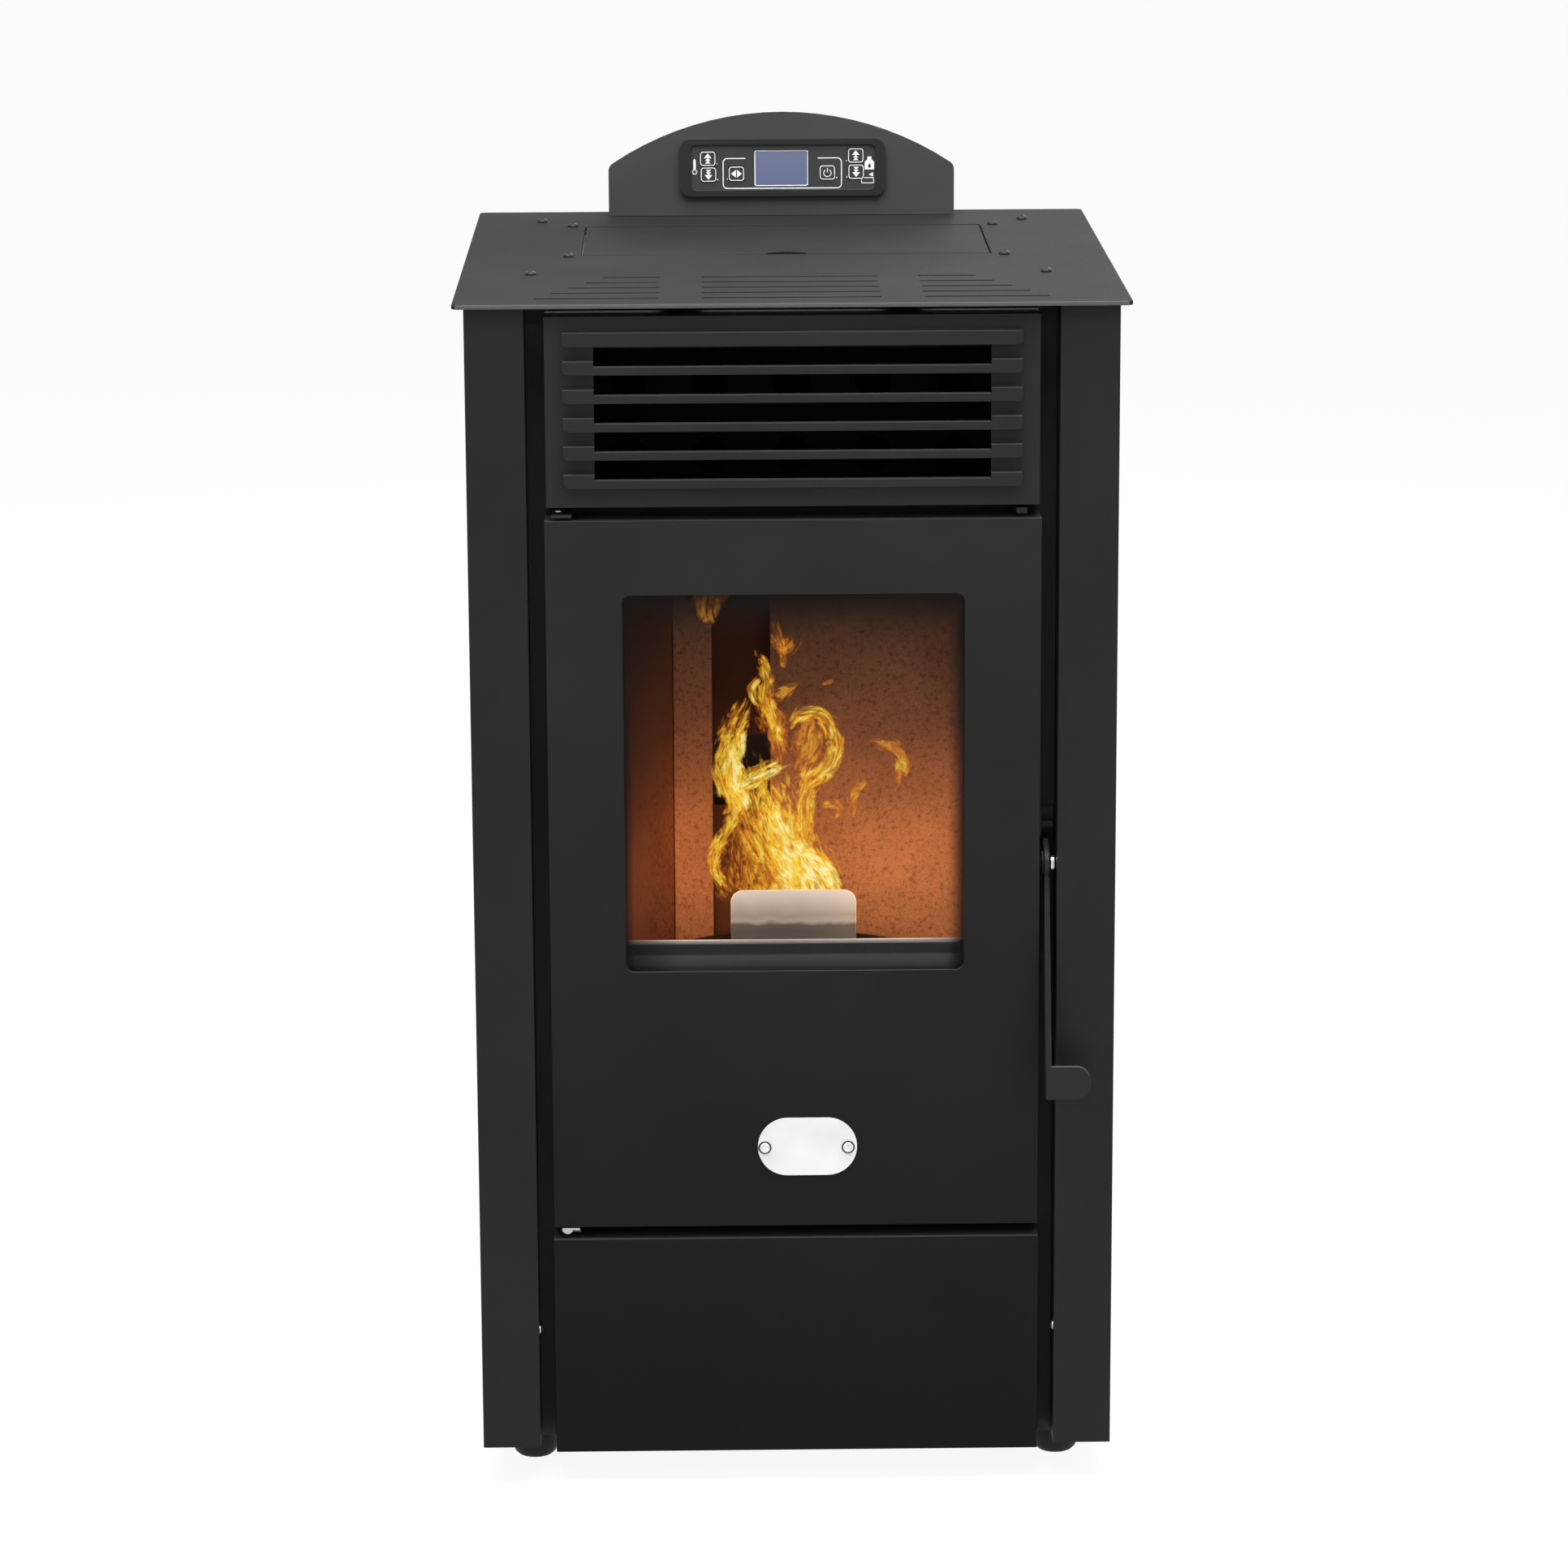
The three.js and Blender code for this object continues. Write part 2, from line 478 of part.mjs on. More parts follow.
// Hinge bracket: a tongue from the front frame with the pin that the door turns on.
function makeHinges() {
  for (const [name, up, edge] of [['hinge_upper', 1, DOOR.top], ['hinge_lower', -1, DOOR.bottom]]) {
    const near = edge + up * HINGE.lift;
    const far = near + up * HINGE.sheet;
    const x0 = HINGE.x - 5;
    const x1 = x0 + HINGE.leaf;
    const z0 = Math.min(near, far);
    const z1 = Math.max(near, far);
    const tip = edge - up * HINGE.drop;
    const headTop = far + up * HINGE.headThick;
    piece(name, build([
      box(x0, x1, HINGE.y - 12, panelBack, z0, z1),
      rodZ(HINGE.pin, Math.min(tip, near), Math.max(tip, near), HINGE.x, HINGE.y, 16),
      rodZ(HINGE.head, Math.min(far, headTop), Math.max(far, headTop), HINGE.x, HINGE.y, 16),
    ]), frameBlack);
  }
}

function makeHandle() {
  const { y, z, eye, inner, thick, bar, reach } = LEVER;
  const outer = inner + thick;
  const half = bar / 2;
  const tabLow = z - reach;
  const tabTop = tabLow + TAB.height;
  const blade = polygon([[y - half, z], [y + half, z], [TAB.y + bar, tabLow], [TAB.y, tabLow],
    [TAB.y, tabTop]]);
  const arm = polygon([[y, z - 8], [y + 11, z + 5], [y + 15, z + 12], [y + 11, z + 15], [y - 3, z + 9]]);
  const tab = new THREE.Shape();
  const r = TAB.corner;
  const tabRight = inner + TAB.width;
  tab.absarc(tabRight - r, tabLow + r, r, -Math.PI / 2, 0);
  tab.absarc(tabRight - r, tabTop - r, r, 0, Math.PI / 2);
  tab.lineTo(inner, tabTop);
  tab.lineTo(inner, tabLow);
  piece('handle_lever', build([
    rodX(eye, inner, outer, y, z),
    extrudeX(blade, inner, outer),
    extrudeX(arm, inner, outer),
    extrudeY(tab, TAB.y, TAB.y + thick, 6),
  ], [
    rodX(PIVOT.radius + CLEAR, inner - 1, outer + 1, y, z, 16),
  ]), black);

  const headInner = outer + CLEAR;
  piece('handle_pivot', build([
    rodX(PIVOT.radius, doorHalf - SHEET - PIVOT.head, headInner, y, z, 16),
    rodX(PIVOT.head, headInner, headInner + PIVOT.headThick, y, z, 16),
    rodX(PIVOT.head, doorHalf + GAP, inner - CLEAR, y, z, 16),
  ]), stainless);

  // Keeper: a bracket on the front frame with the pin that the lever's arm draws down on.
  const plateX = doorHalf + 1;
  const farX = stripInner - GAP;
  const pinZ = z + KEEPER.above;
  const low = pinZ - KEEPER.height / 3;
  const high = low + KEEPER.height;
  piece('latch_keeper', build([
    box(plateX, farX, panelBack - KEEPER.sheet, panelBack, low, high),
    box(plateX, plateX + SHEET, KEEPER.y - KEEPER.pin - SHEET, panelBack, low, high),
    rodX(KEEPER.pin, plateX, farX - 1, KEEPER.y, pinZ, 12),
  ]), frameBlack);
}

// ---- Fire chamber -------------------------------------------------------------------
function makeFirebox() {
  const { halfWidth, bottom, top, back, wall } = FIREBOX;
  const outer = box(-halfWidth, halfWidth, boxFront, back, bottom, top);
  const shelf = box(-boxInside, boxInside, boxFront, LINER.face + SHELF.under,
    SHELF.top - SHELF.thick, SHELF.top);
  const inside = box(-boxInside, boxInside, boxFront + wall, boxRear, bottom + wall, top - wall);
  const cuts = [
    inside,
    box(-MOUTH.halfWidth, MOUTH.halfWidth, boxFront - 1, boxFront + wall + 1, mouthBottom, MOUTH.top),
    box(-blowHalf, blowHalf, boxFront - 1, back + 1, blowBottom, blowTop),
    box(AUGER.x - CHUTE.half, AUGER.x + CHUTE.half, boxRear - 1, back + 1, CHUTE.low,
      CHUTE.low + CHUTE.mouth),
    rodY(AIR_PIPE.radius + GAP, boxRear - 1, back + 1, AIR_PIPE.x, AIR_PIPE.z, AIR_PIPE.sides),
    rodY(IGNITER.radius + GAP, boxRear - 1, back + 1, IGNITER.x, IGNITER.z, 12),
    box(ductLeft + DUCT.wall, ductRight - DUCT.wall, boxRear - 1, back + 1, DUCT.low + DUCT.wall,
      DUCT.high - DUCT.wall),
  ];
  const hollow = build([outer], cuts);
  const hole = holderHalf + GAP;
  const shelfCut = build([shelf], [box(-hole, hole, holderFront - GAP, holderBack + GAP,
    SHELF.top - SHELF.thick - 1, SHELF.top + 1)]);
  piece('firebox', build([hollow, shelfCut]), castIron);
}

function makeLiners() {
  const { front, face, thick, top } = LINER;
  const side = MOUTH.halfWidth;
  const leftBack = linerBackLeft;
  const low = SHELF.top + GAP;
  const left = grooveLeft;
  const right = grooveRight;
  const back = face + thick;
  const deep = face + GROOVE.depth;
  const backShape = polygon([[leftBack, face], [left, face], [left, deep], [right, deep], [right, face],
    [side, face],
    [side, back], [right + thick, back], [right + thick, deep + thick], [left - thick, deep + thick],
    [left - thick, back], [leftBack, back]]);
  const drop = box(AUGER.x - CHUTE.half, AUGER.x + CHUTE.half, deep - 1, deep + thick + 1, CHUTE.low,
    CHUTE.low + CHUTE.mouth);
  piece('liner_back', build([extrudeZ(backShape, low, top)], [drop]), vermiculite);

  const leftFront = -side;
  piece('liner_left', extrudeZ(polygon([[leftFront, front], [leftBack - GAP, face],
    [leftBack - GAP - thick, face],
    [leftFront - thick, front]]), low, top), vermiculite);
  piece('liner_right', box(side + GAP, side + GAP + thick, front, back, low, top), vermiculite);

  const baffleLow = top + GAP;
  piece('baffle_plate', box(-boxInside + GAP, boxInside - GAP, front, BAFFLE.back, baffleLow,
    baffleLow + BAFFLE.thick),
    vermiculite);
}

function makePot() {
  const disc = rodZ(dishRadius, dishBottom, dishTop + DISH.rimHeight, 0, dishCentre, 48);
  const bowl = rodZ(dishRadius - DISH.rim, dishTop, dishTop + DISH.rimHeight + 1, 0, dishCentre, 48);
  const clip = box(-dishRadius - 1, dishRadius + 1, dishCentre - dishRadius - 1, DISH.front,
    dishBottom - 1, dishTop + DISH.rimHeight + 1);
  const potHole = POT.half + CLEAR;
  piece('pot_holder', build([
    build([disc], [bowl, clip]),
    box(-holderHalf, holderHalf, holderFront, holderBack, AIRBOX.bottom, dishTop),
  ], [
    box(-holderHalf + AIRBOX.wall, holderHalf - AIRBOX.wall, holderFront + AIRBOX.wall,
      holderBack - AIRBOX.wall,
      AIRBOX.bottom + AIRBOX.wall, dishBottom),
    box(-potHole, potHole, potFront - CLEAR, potBack + CLEAR, dishBottom - 1, dishTop + 1),
    rodY(AIR_PIPE.radius - AIR_PIPE.wall, holderBack - AIRBOX.wall - 1, holderBack + 1, AIR_PIPE.x,
      AIR_PIPE.z),
    rodY(IGNITER.radius + GAP, holderBack - AIRBOX.wall - 1, holderBack + 1, IGNITER.x, IGNITER.z, 12),
  ]), castIron);

  const { half, bottom, wall, flange } = POT;
  const front = potFront;
  const top = potTop;
  const rimLow = dishTop + GAP;
  const cuts = [box(-half + wall, half - wall, front + wall, potBack - wall, bottom + wall, top + 1)];
  const pitch = (2 * half - 2 * wall) / POT.holes;
  for (let i = 0; i < POT.holes; i += 1) {
    for (let j = 0; j < POT.holes; j += 1) {
      const x = (i - (POT.holes - 1) / 2) * pitch;
      const y = (potFront + potBack) / 2 + (j - (POT.holes - 1) / 2) * pitch;
      cuts.push(rodZ(POT.hole, bottom - 1, bottom + wall + 1, x, y, 8));
    }
  }
  piece('burn_pot', build([
    box(-half, half, front, potBack, bottom, top),
    box(-half - flange, half + flange, front - flange, potBack + flange, rimLow, rimLow + POT.lip),
  ], cuts), castIron);

  // Bent stainless plate in front of the pot, with two hooks over its front wall.
  const rise = SHIELD.front + SHIELD.lean;
  const profile = polygon([[SHIELD.front + 1.6, SHIELD.bottom], [rise - 1, SHIELD.bend - 8],
    [SHIELD.front, SHIELD.bend], [SHIELD.front, SHIELD.top], [SHIELD.front + SHIELD.thick, SHIELD.top],
    [SHIELD.front + SHIELD.thick, SHIELD.bend + 0.8], [rise + 1, SHIELD.bend - 7],
    [SHIELD.front + 1.6 + SHIELD.thick, SHIELD.bottom]]);
  const r = SHIELD.corner;
  const faceShape = new THREE.Shape();
  faceShape.moveTo(-SHIELD.halfWidth, SHIELD.bottom - 1);
  faceShape.lineTo(SHIELD.halfWidth, SHIELD.bottom - 1);
  faceShape.absarc(SHIELD.halfWidth - r, SHIELD.top - r, r, 0, Math.PI / 2);
  faceShape.absarc(-SHIELD.halfWidth + r, SHIELD.top - r, r, Math.PI / 2, Math.PI);
  const bent = toSolid(extrudeX(profile, -SHIELD.halfWidth, SHIELD.halfWidth));
  const outline = toSolid(extrudeY(faceShape, SHIELD.front - 5, SHIELD.front + 15, 6));
  const hooks = [];
  for (const x of [-22, 22]) {
    hooks.push(box(x - 5, x + 5, rise, front + wall + GAP + 2, top + GAP, top + GAP + 2));
    hooks.push(box(x - 5, x + 5, front + wall + GAP, front + wall + GAP + 2, top - 8, top + GAP + 2));
  }
  piece('pot_shield', build([toGeometry(bent.intersect(outline)), ...hooks]), stainless);

  const tip = potBack + CLEAR;
  piece('igniter', build([
    rodY(IGNITER.radius, tip, FIREBOX.back + GAP, IGNITER.x, IGNITER.z, 12),
    rodY(IGNITER.head, FIREBOX.back + GAP, FIREBOX.back + GAP + IGNITER.headLength, IGNITER.x, IGNITER.z, 6),
  ]), steel);

  const pipeFront = holderBack + GAP;
  piece('air_intake_pipe', build([
    rodY(AIR_PIPE.radius, pipeFront, AIR_PIPE.end, AIR_PIPE.x, AIR_PIPE.z, AIR_PIPE.sides),
  ], [
    rodY(AIR_PIPE.radius - AIR_PIPE.wall, pipeFront - 1, AIR_PIPE.end + 1, AIR_PIPE.x, AIR_PIPE.z,
      AIR_PIPE.sides),
  ]), steel);
}

function makeExchanger() {
  const half = boxInside - GAP;
  const middle = (blowBottom + blowTop) / 2;
  const pitchX = (2 * blowHalf) / (EXCHANGER.columns + 0.25);
  const sheets = [];
  const first = boxFront + FIREBOX.wall + GAP;
  const last = boxRear - GAP;
  for (const y of [first, last - EXCHANGER.sheet]) {
    sheets.push(box(-half, half, y, y + EXCHANGER.sheet, exchangerLow, exchangerTop));
  }
  const bores = [];
  for (let row = 0; row < EXCHANGER.rows; row += 1) {
    for (let column = 0; column < EXCHANGER.columns; column += 1) {
      const x = (column - (EXCHANGER.columns - 1) / 2) * pitchX;
      const z = middle + (row - (EXCHANGER.rows - 1) / 2) * EXCHANGER.pitchZ;
      sheets.push(rodY(EXCHANGER.tube, first, last, x, z, 12));
      bores.push(rodY(EXCHANGER.tube - EXCHANGER.wall, first - 1, last + 1, x, z, 12));
    }
  }
  piece('heat_exchanger', build(sheets, bores), steel);
}

function makeDrawer() {
  const { halfWidth, front, depth, height, wall, grip } = DRAWER;
  const bottom = mouthBottom + GAP;
  piece('ash_drawer', build([
    box(-halfWidth, halfWidth, front, front + depth, bottom, bottom + height),
    box(-grip * 2, grip * 2, front - 5, front + 1, bottom + height - 12, bottom + height - 9),
  ], [
    box(-halfWidth + wall, halfWidth - wall, front + wall, front + depth - wall, bottom + wall,
      bottom + height + 1),
  ]), steel);
}

// ---- Fans ---------------------------------------------------------------------------
// Radial fan wheel: disc, hub and flat blades, turning about X.
function fanWheel(radius, width, bore) {
  const add = [
    rodX(radius, 0, WHEEL.disc, 0, 0, 24),
    rodX(WHEEL.hub, 0, width * 0.6, 0, 0, 16),
  ];
  for (let i = 0; i < WHEEL.blades; i += 1) {
    const blade = box(0, width, WHEEL.hub + 6, radius - 1, -WHEEL.blade / 2, WHEEL.blade / 2);
    add.push(blade.rotateX((i / WHEEL.blades) * 2 * Math.PI));
  }
  return build(add, [rodX(bore, -1, width, 0, 0, 12)]);
}

function makeExhaust() {
  const x0 = FLUE.x - EXHAUST.width / 2;
  const x1 = FLUE.x + EXHAUST.width / 2;
  const y = EXHAUST.y;
  const r = EXHAUST.radius;
  const w = EXHAUST.wall;
  const z = FLUE.z - FLUE.radius + r;
  const spigotStart = y + r + 12;
  const outletTop = FLUE.z + FLUE.radius;
  const collar = FLUE.radius - FLUE.wall - GAP;
  const throat = EXHAUST.width / 2 - w;
  const duct = box(ductLeft, ductRight, FIREBOX.back + GAP, DUCT.end, DUCT.low, DUCT.high);
  piece('exhaust_housing', build([
    rodX(r, x0, x1, y, z, 32),
    box(x0, x1, y, spigotStart, FLUE.z - FLUE.radius, outletTop),
    rodY(collar, spigotStart - 1, spigotStart + FLUE.collar, FLUE.x, FLUE.z, FLUE.sides),
    build([duct, box(x1 - 1, ductLeft + 1, y - EXHAUST.inlet - 4, y + EXHAUST.inlet + 4, DUCT.low,
      DUCT.high)]),
  ], [
    rodX(r - w, x0 + w, x1 - w, y, z, 32),
    box(x0 + w, x1 - w, y, spigotStart - w, FLUE.z - FLUE.radius + w, outletTop - w),
    rodY(throat, spigotStart - w - 1, spigotStart + FLUE.collar + 1, FLUE.x, FLUE.z, FLUE.sides),
    box(ductLeft + DUCT.wall, ductRight - DUCT.wall, FIREBOX.back - 1, DUCT.end - DUCT.wall,
      DUCT.low + DUCT.wall,
      DUCT.high - DUCT.wall),
    rodX(EXHAUST.inlet, x1 - w - 1, ductLeft + DUCT.wall + 1, y, (DUCT.low + DUCT.high) / 2, 20),
    rodX(MOTOR.shaft + CLEAR, x0 - 1, x0 + w + 1, y, z, 12),
  ]), steel);

  const spigot = rodY(FLUE.radius, spigotStart + GAP, FLUE.end, FLUE.x, FLUE.z, FLUE.sides);
  const bore = rodY(FLUE.radius - FLUE.wall, spigotStart, FLUE.end + 1, FLUE.x, FLUE.z, FLUE.sides);
  piece('flue_spigot', build([spigot], [bore]), steel);

  const wheelX = FLUE.x - EXHAUST.wheelWidth / 2;
  const wheel = piece('exhaust_impeller', fanWheel(EXHAUST.wheel, EXHAUST.wheelWidth, MOTOR.shaft + GAP),
    steel);
  wheel.position.set(wheelX, y, z);
  piece('exhaust_motor', build([
    rodX(MOTOR.radius, x0 - GAP - MOTOR.length, x0 - GAP, y, z, 20),
    rodX(MOTOR.shaft, x0 - GAP - 1, wheelX + EXHAUST.wheelWidth * 0.5, y, z, 12),
  ]), castIron);
}

function makeConvection() {
  const { x, y, z, radius, width, wall, inlet } = FAN;
  const x0 = x - width / 2;
  const x1 = x + width / 2;
  const outletTop = z + FAN_OUTLET.height;
  const outletBack = y - radius + FAN_OUTLET.depth;
  piece('convection_housing', build([
    rodX(radius, x0, x1, y, z, 32),
    box(x0, x1, y - radius, outletBack, z, outletTop),
    box(x0, x1, y - radius * 0.6, y + radius * 0.6, baseBottom + BASE.thick + GAP, z - radius * 0.7),
  ], [
    rodX(radius - wall, x0 + wall, x1 - wall, y, z, 32),
    box(x0 + wall, x1 - wall, y - radius + wall, outletBack - wall, z, outletTop + 1),
    rodX(inlet, x0 - 1, x0 + wall + 1, y, z, 20),
    rodX(MOTOR.shaft + CLEAR, x1 - wall - 1, x1 + 1, y, z, 12),
  ]), steel);
  const wheelX = x - FAN.wheelWidth / 2;
  const wheel = piece('convection_impeller', fanWheel(FAN.wheel, FAN.wheelWidth, MOTOR.shaft + GAP), steel);
  wheel.position.set(wheelX, y, z);
  piece('convection_motor', build([
    rodX(MOTOR.radius, x1 + GAP, x1 + GAP + MOTOR.length, y, z, 20),
    rodX(MOTOR.shaft, wheelX + MOTOR.shaft, x1 + GAP + 1, y, z, 12),
  ]), castIron);
}

// ---- Pellet feed --------------------------------------------------------------------
function makeHopper() {
  const { wall, rim, mid, neck, neckHalf, neckY, neckLength } = HOPPER;
  const halfWidth = LID.halfWidth + CLEAR + wall;
  const front = lidFront + HOPPER.lidSeat;
  const back = lidBack + LID.backGap + wall;
  const rimTop = plateBottom - GAP;
  const rimLow = rimTop - wall;
  const neckRect = [AUGER.x - neckHalf, AUGER.x + neckHalf, neckY - neckLength / 2, neckY + neckLength / 2];
  const mouthRect = [-halfWidth, halfWidth, front, back];
  const shrink = ([x0, x1, y0, y1]) => [x0 + wall, x1 - wall, y0 + wall, y1 - wall];
  const tube = (rect, z0, z1) => funnel(rect, z0, rect, z1);
  const neckTop = neck + HOPPER.neckHeight;
  piece('hopper', build([
    box(-halfWidth - rim, halfWidth + rim, front - rim, back + rim, rimLow, rimTop),
    tube(mouthRect, mid, rimTop),
    funnel(neckRect, neckTop, mouthRect, mid),
    tube(neckRect, neck, neckTop),
  ], [
    tube(shrink(mouthRect), mid, rimTop + 1),
    funnel(shrink(neckRect), neckTop, shrink(mouthRect), mid),
    tube(shrink(neckRect), neck - 1, neckTop),
  ]), steel);
}

function makeLid() {
  const low = plateBottom;
  const high = PLATE.top;
  const cutter = rodZ(LID.finger, low - 1, high + 1, 0, lidFront, 32);
  const add = [box(-LID.halfWidth, LID.halfWidth, lidFront, lidBack, low, high)];
  const z = (low + high) / 2;
  add.push(rodX(LID.pin, -LID.halfWidth - LID.pinLength, -LID.halfWidth + 1, lidPivot, z, 12));
  add.push(rodX(LID.pin, LID.halfWidth - 1, LID.halfWidth + LID.pinLength, lidPivot, z, 12));
  piece('hopper_lid', build(add, [cutter]), topPaint);
}

function makeAuger() {
  const tilt = THREE.MathUtils.degToRad(AUGER.tilt);
  const aim = (geometry) => geometry.rotateX(Math.PI / 2 - tilt).translate(AUGER.x, AUGER.y, AUGER.z);
  const along = (radius, from, to, sides) => aim(rodZ(radius, from, to, 0, 0, sides));
  const { neckHalf, neckY, neckLength, neck } = HOPPER;
  const collarTop = neck - GAP;
  const neckRect = [AUGER.x - neckHalf + 2, AUGER.x + neckHalf - 2, neckY - neckLength / 2,
    neckY + neckLength / 2];
  const rise = Math.tan(tilt);
  const axisZ = AUGER.z + (AUGER.y - neckY) * rise;
  const chuteFront = FIREBOX.back + GAP;
  const { wall: w, ramp, slope, low: chuteLow, back: chuteBack } = CHUTE;
  const chuteTop = chuteLow + CHUTE.height;
  const mouthTop = chuteLow + CHUTE.mouth;
  const chuteOuter = [[chuteFront, chuteLow - w], [chuteBack, chuteLow + ramp], [chuteBack, chuteTop],
    [chuteFront + slope, chuteTop], [chuteFront, mouthTop + w]];
  const chuteInner = [[chuteFront - 1, chuteLow], [chuteBack - w, chuteLow + ramp + w],
    [chuteBack - w, chuteTop - w], [chuteFront + slope + w, chuteTop - w], [chuteFront - 1, mouthTop]];
  const half = CHUTE.half;
  const shell = build([
    along(AUGER.tube, 0, AUGER.length, 24),
    box(neckRect[0], neckRect[1], neckRect[2], neckRect[3], axisZ, collarTop),
    extrudeX(polygon(chuteOuter), AUGER.x - half - w, AUGER.x + half + w),
  ], [
    along(AUGER.tube - AUGER.wall, -1, AUGER.length - AUGER.wall, 24),
    box(neckRect[0] + w, neckRect[1] - w, neckRect[2] + w, neckRect[3] - w, axisZ, collarTop + 1),
    extrudeX(polygon(chuteInner), AUGER.x - half, AUGER.x + half),
  ]);
  piece('auger_tube', shell, steel);

  // Screw: a round shaft with one flight, twisted about its own axis.
  const drive = new THREE.Group();
  drive.position.set(AUGER.x, AUGER.y, AUGER.z);
  drive.rotation.x = Math.PI / 2 - tilt;
  stove.add(drive);
  const length = AUGER.length - AUGER.wall - 8;
  const turns = length / AUGER.pitch;
  const flight = new THREE.Shape();
  const sweep = 0.36;
  flight.absarc(0, 0, AUGER.shaft, sweep, 2 * Math.PI - sweep);
  flight.absarc(0, 0, AUGER.screw, -sweep, sweep);
  const steps = Math.round(turns * 9);
  const screw = new THREE.ExtrudeGeometry(flight, { depth: length, steps, bevelEnabled: false,
    curveSegments: 5 });
  const place = screw.attributes.position;
  for (let i = 0; i < place.count; i += 1) {
    const angle = (place.getZ(i) / AUGER.pitch) * 2 * Math.PI;
    const x = place.getX(i) * Math.cos(angle) - place.getY(i) * Math.sin(angle);
    const y = place.getX(i) * Math.sin(angle) + place.getY(i) * Math.cos(angle);
    place.setXY(i, x, y);
  }
  piece('auger_screw', build([screw.translate(0, 0, 2)]), steel, drive);

  const halfW = GEARBOX.width / 2;
  const halfH = GEARBOX.height / 2;
  piece('gearmotor', build([
    box(-halfW, halfW, -halfH, halfH, -GAP - GEARBOX.length, -GAP),
    rodZ(GEARBOX.motor, -GAP - GEARBOX.length - GEARBOX.motorLength, -GAP - GEARBOX.length + 1, 0, 0, 20),
    rodZ(AUGER.shaft - 1, -GAP - 1, 2 - GAP, 0, 0, 12),
  ]), castIron, drive);
}

// ---- Console ------------------------------------------------------------------------
const onPlate = (height) => PLATE.top + height;

// Points along an arc, without its last one, so that an outline can go on from there.
function arcPoints(x, z, radius, from, to, steps) {
  return Array.from({ length: steps }, (_, i) => {
    const angle = from + ((to - from) * i) / steps;
    return [x + radius * Math.cos(angle), z + radius * Math.sin(angle)];
  });
}

// Straight sides and a shallow arched top, with both shoulders rounded.
function consoleOutline(inset, foot) {
  const half = CONSOLE.halfWidth - inset;
  const height = CONSOLE.height - inset;
  const rise = height - CONSOLE.shoulder;
  const radius = (half * half + rise * rise) / (2 * rise);
  const centre = onPlate(height - radius);
  const { round } = CONSOLE;
  const roundX = half - round;
  const roundRise = Math.sqrt((radius - round) ** 2 - roundX ** 2);
  const turn = Math.atan2(roundRise, roundX);
  return polygon([
    [-half, onPlate(foot)],
    [half, onPlate(foot)],
    ...arcPoints(roundX, centre + roundRise, round, 0, turn, 5),
    ...arcPoints(0, centre, radius, turn, Math.PI - turn, 20),
    ...arcPoints(-roundX, centre + roundRise, round, Math.PI - turn, Math.PI, 5),
    [-half, centre + roundRise],
  ]);
}

function makeConsole() {
  const back = CONSOLE.front + CONSOLE.depth;
  const coverFront = back - SHEET;
  const shell = build([
    extrudeY(consoleOutline(0, GAP), CONSOLE.front, CONSOLE.front + SHEET),
    extrudeY(consoleOutline(CONSOLE.inset, GAP), CONSOLE.front + 1, coverFront - GAP),
  ], [
    extrudeY(consoleOutline(CONSOLE.inset + SHEET, -1), CONSOLE.front + SHEET, back),
    box(RECESS.left + 1, RECESS.right - 1, CONSOLE.front - 1, CONSOLE.front + SHEET + 1,
      onPlate(RECESS.low + 1),
      onPlate(RECESS.high - 1)),
  ]);
  piece('console_shell', shell, topPaint);
  piece('console_cover', extrudeY(consoleOutline(CONSOLE.inset, GAP), coverFront, back), topPaint);

  const bezelBack = CONSOLE.front - GAP;
  const bezelFront = bezelBack - BEZEL.proud;
  const floorFront = bezelBack - RECESS.floor;
  const keyHoles = KEY_PLACES.map(([x, z]) => box(x - KEY.width / 2 - GAP, x + KEY.width / 2 + GAP,
    bezelFront, bezelBack + 1,
    onPlate(z - KEY.height / 2 - GAP), onPlate(z + KEY.height / 2 + GAP)));
  piece('keypad_bezel', build([
    extrudeY(roundedRect(BEZEL.left, BEZEL.right, onPlate(BEZEL.low), onPlate(BEZEL.high), BEZEL.corner),
      bezelFront, bezelBack),
  ], [
    extrudeY(roundedRect(RECESS.left, RECESS.right, onPlate(RECESS.low), onPlate(RECESS.high), RECESS.corner),
      bezelFront - 1, floorFront),
    box(DISPLAY.left, DISPLAY.right, bezelFront, bezelBack + 1, onPlate(DISPLAY.low), onPlate(DISPLAY.high)),
    ...keyHoles,
  ]), plastic);

  const boardFront = CONSOLE.front + SHEET + BOARD.behind;
  const relayLeft = BEZEL.left + BOARD.chipEdge;
  const chipRight = BEZEL.right - BOARD.chipEdge;
  piece('control_board', build([
    box(BEZEL.left + 2, BEZEL.right - 2, boardFront, boardFront + BOARD.thick, onPlate(BEZEL.low),
      onPlate(BEZEL.high)),
    box(relayLeft, relayLeft + BOARD.relay, boardFront + 1, boardFront + 1 + BOARD.relayHeight,
      onPlate(BEZEL.low + BOARD.chipEdge), onPlate(BEZEL.high - BOARD.chipEdge)),
    box(chipRight - BOARD.chip, chipRight, boardFront + 1, boardFront + 1 + BOARD.chipHeight,
      onPlate(BEZEL.low + BOARD.chipEdge), onPlate(BEZEL.high - BOARD.chipEdge)),
  ]), boardGreen);

  piece('display_panel', box(DISPLAY.left + GAP, DISPLAY.right - GAP, floorFront + 0.4, boardFront - GAP,
    onPlate(DISPLAY.low) + GAP, onPlate(DISPLAY.high) - GAP), displayBlue);

  KEY_PLACES.forEach(([x, z], index) => {
    const front = floorFront - KEY.proud;
    const back = boardFront - GAP - KEY.travel;
    const key = piece(`key_${index + 1}`, box(-KEY.width / 2, KEY.width / 2, 0, back - front, -KEY.height / 2,
      KEY.height / 2), plastic);
    key.position.set(x, front, onPlate(z));
  });
}

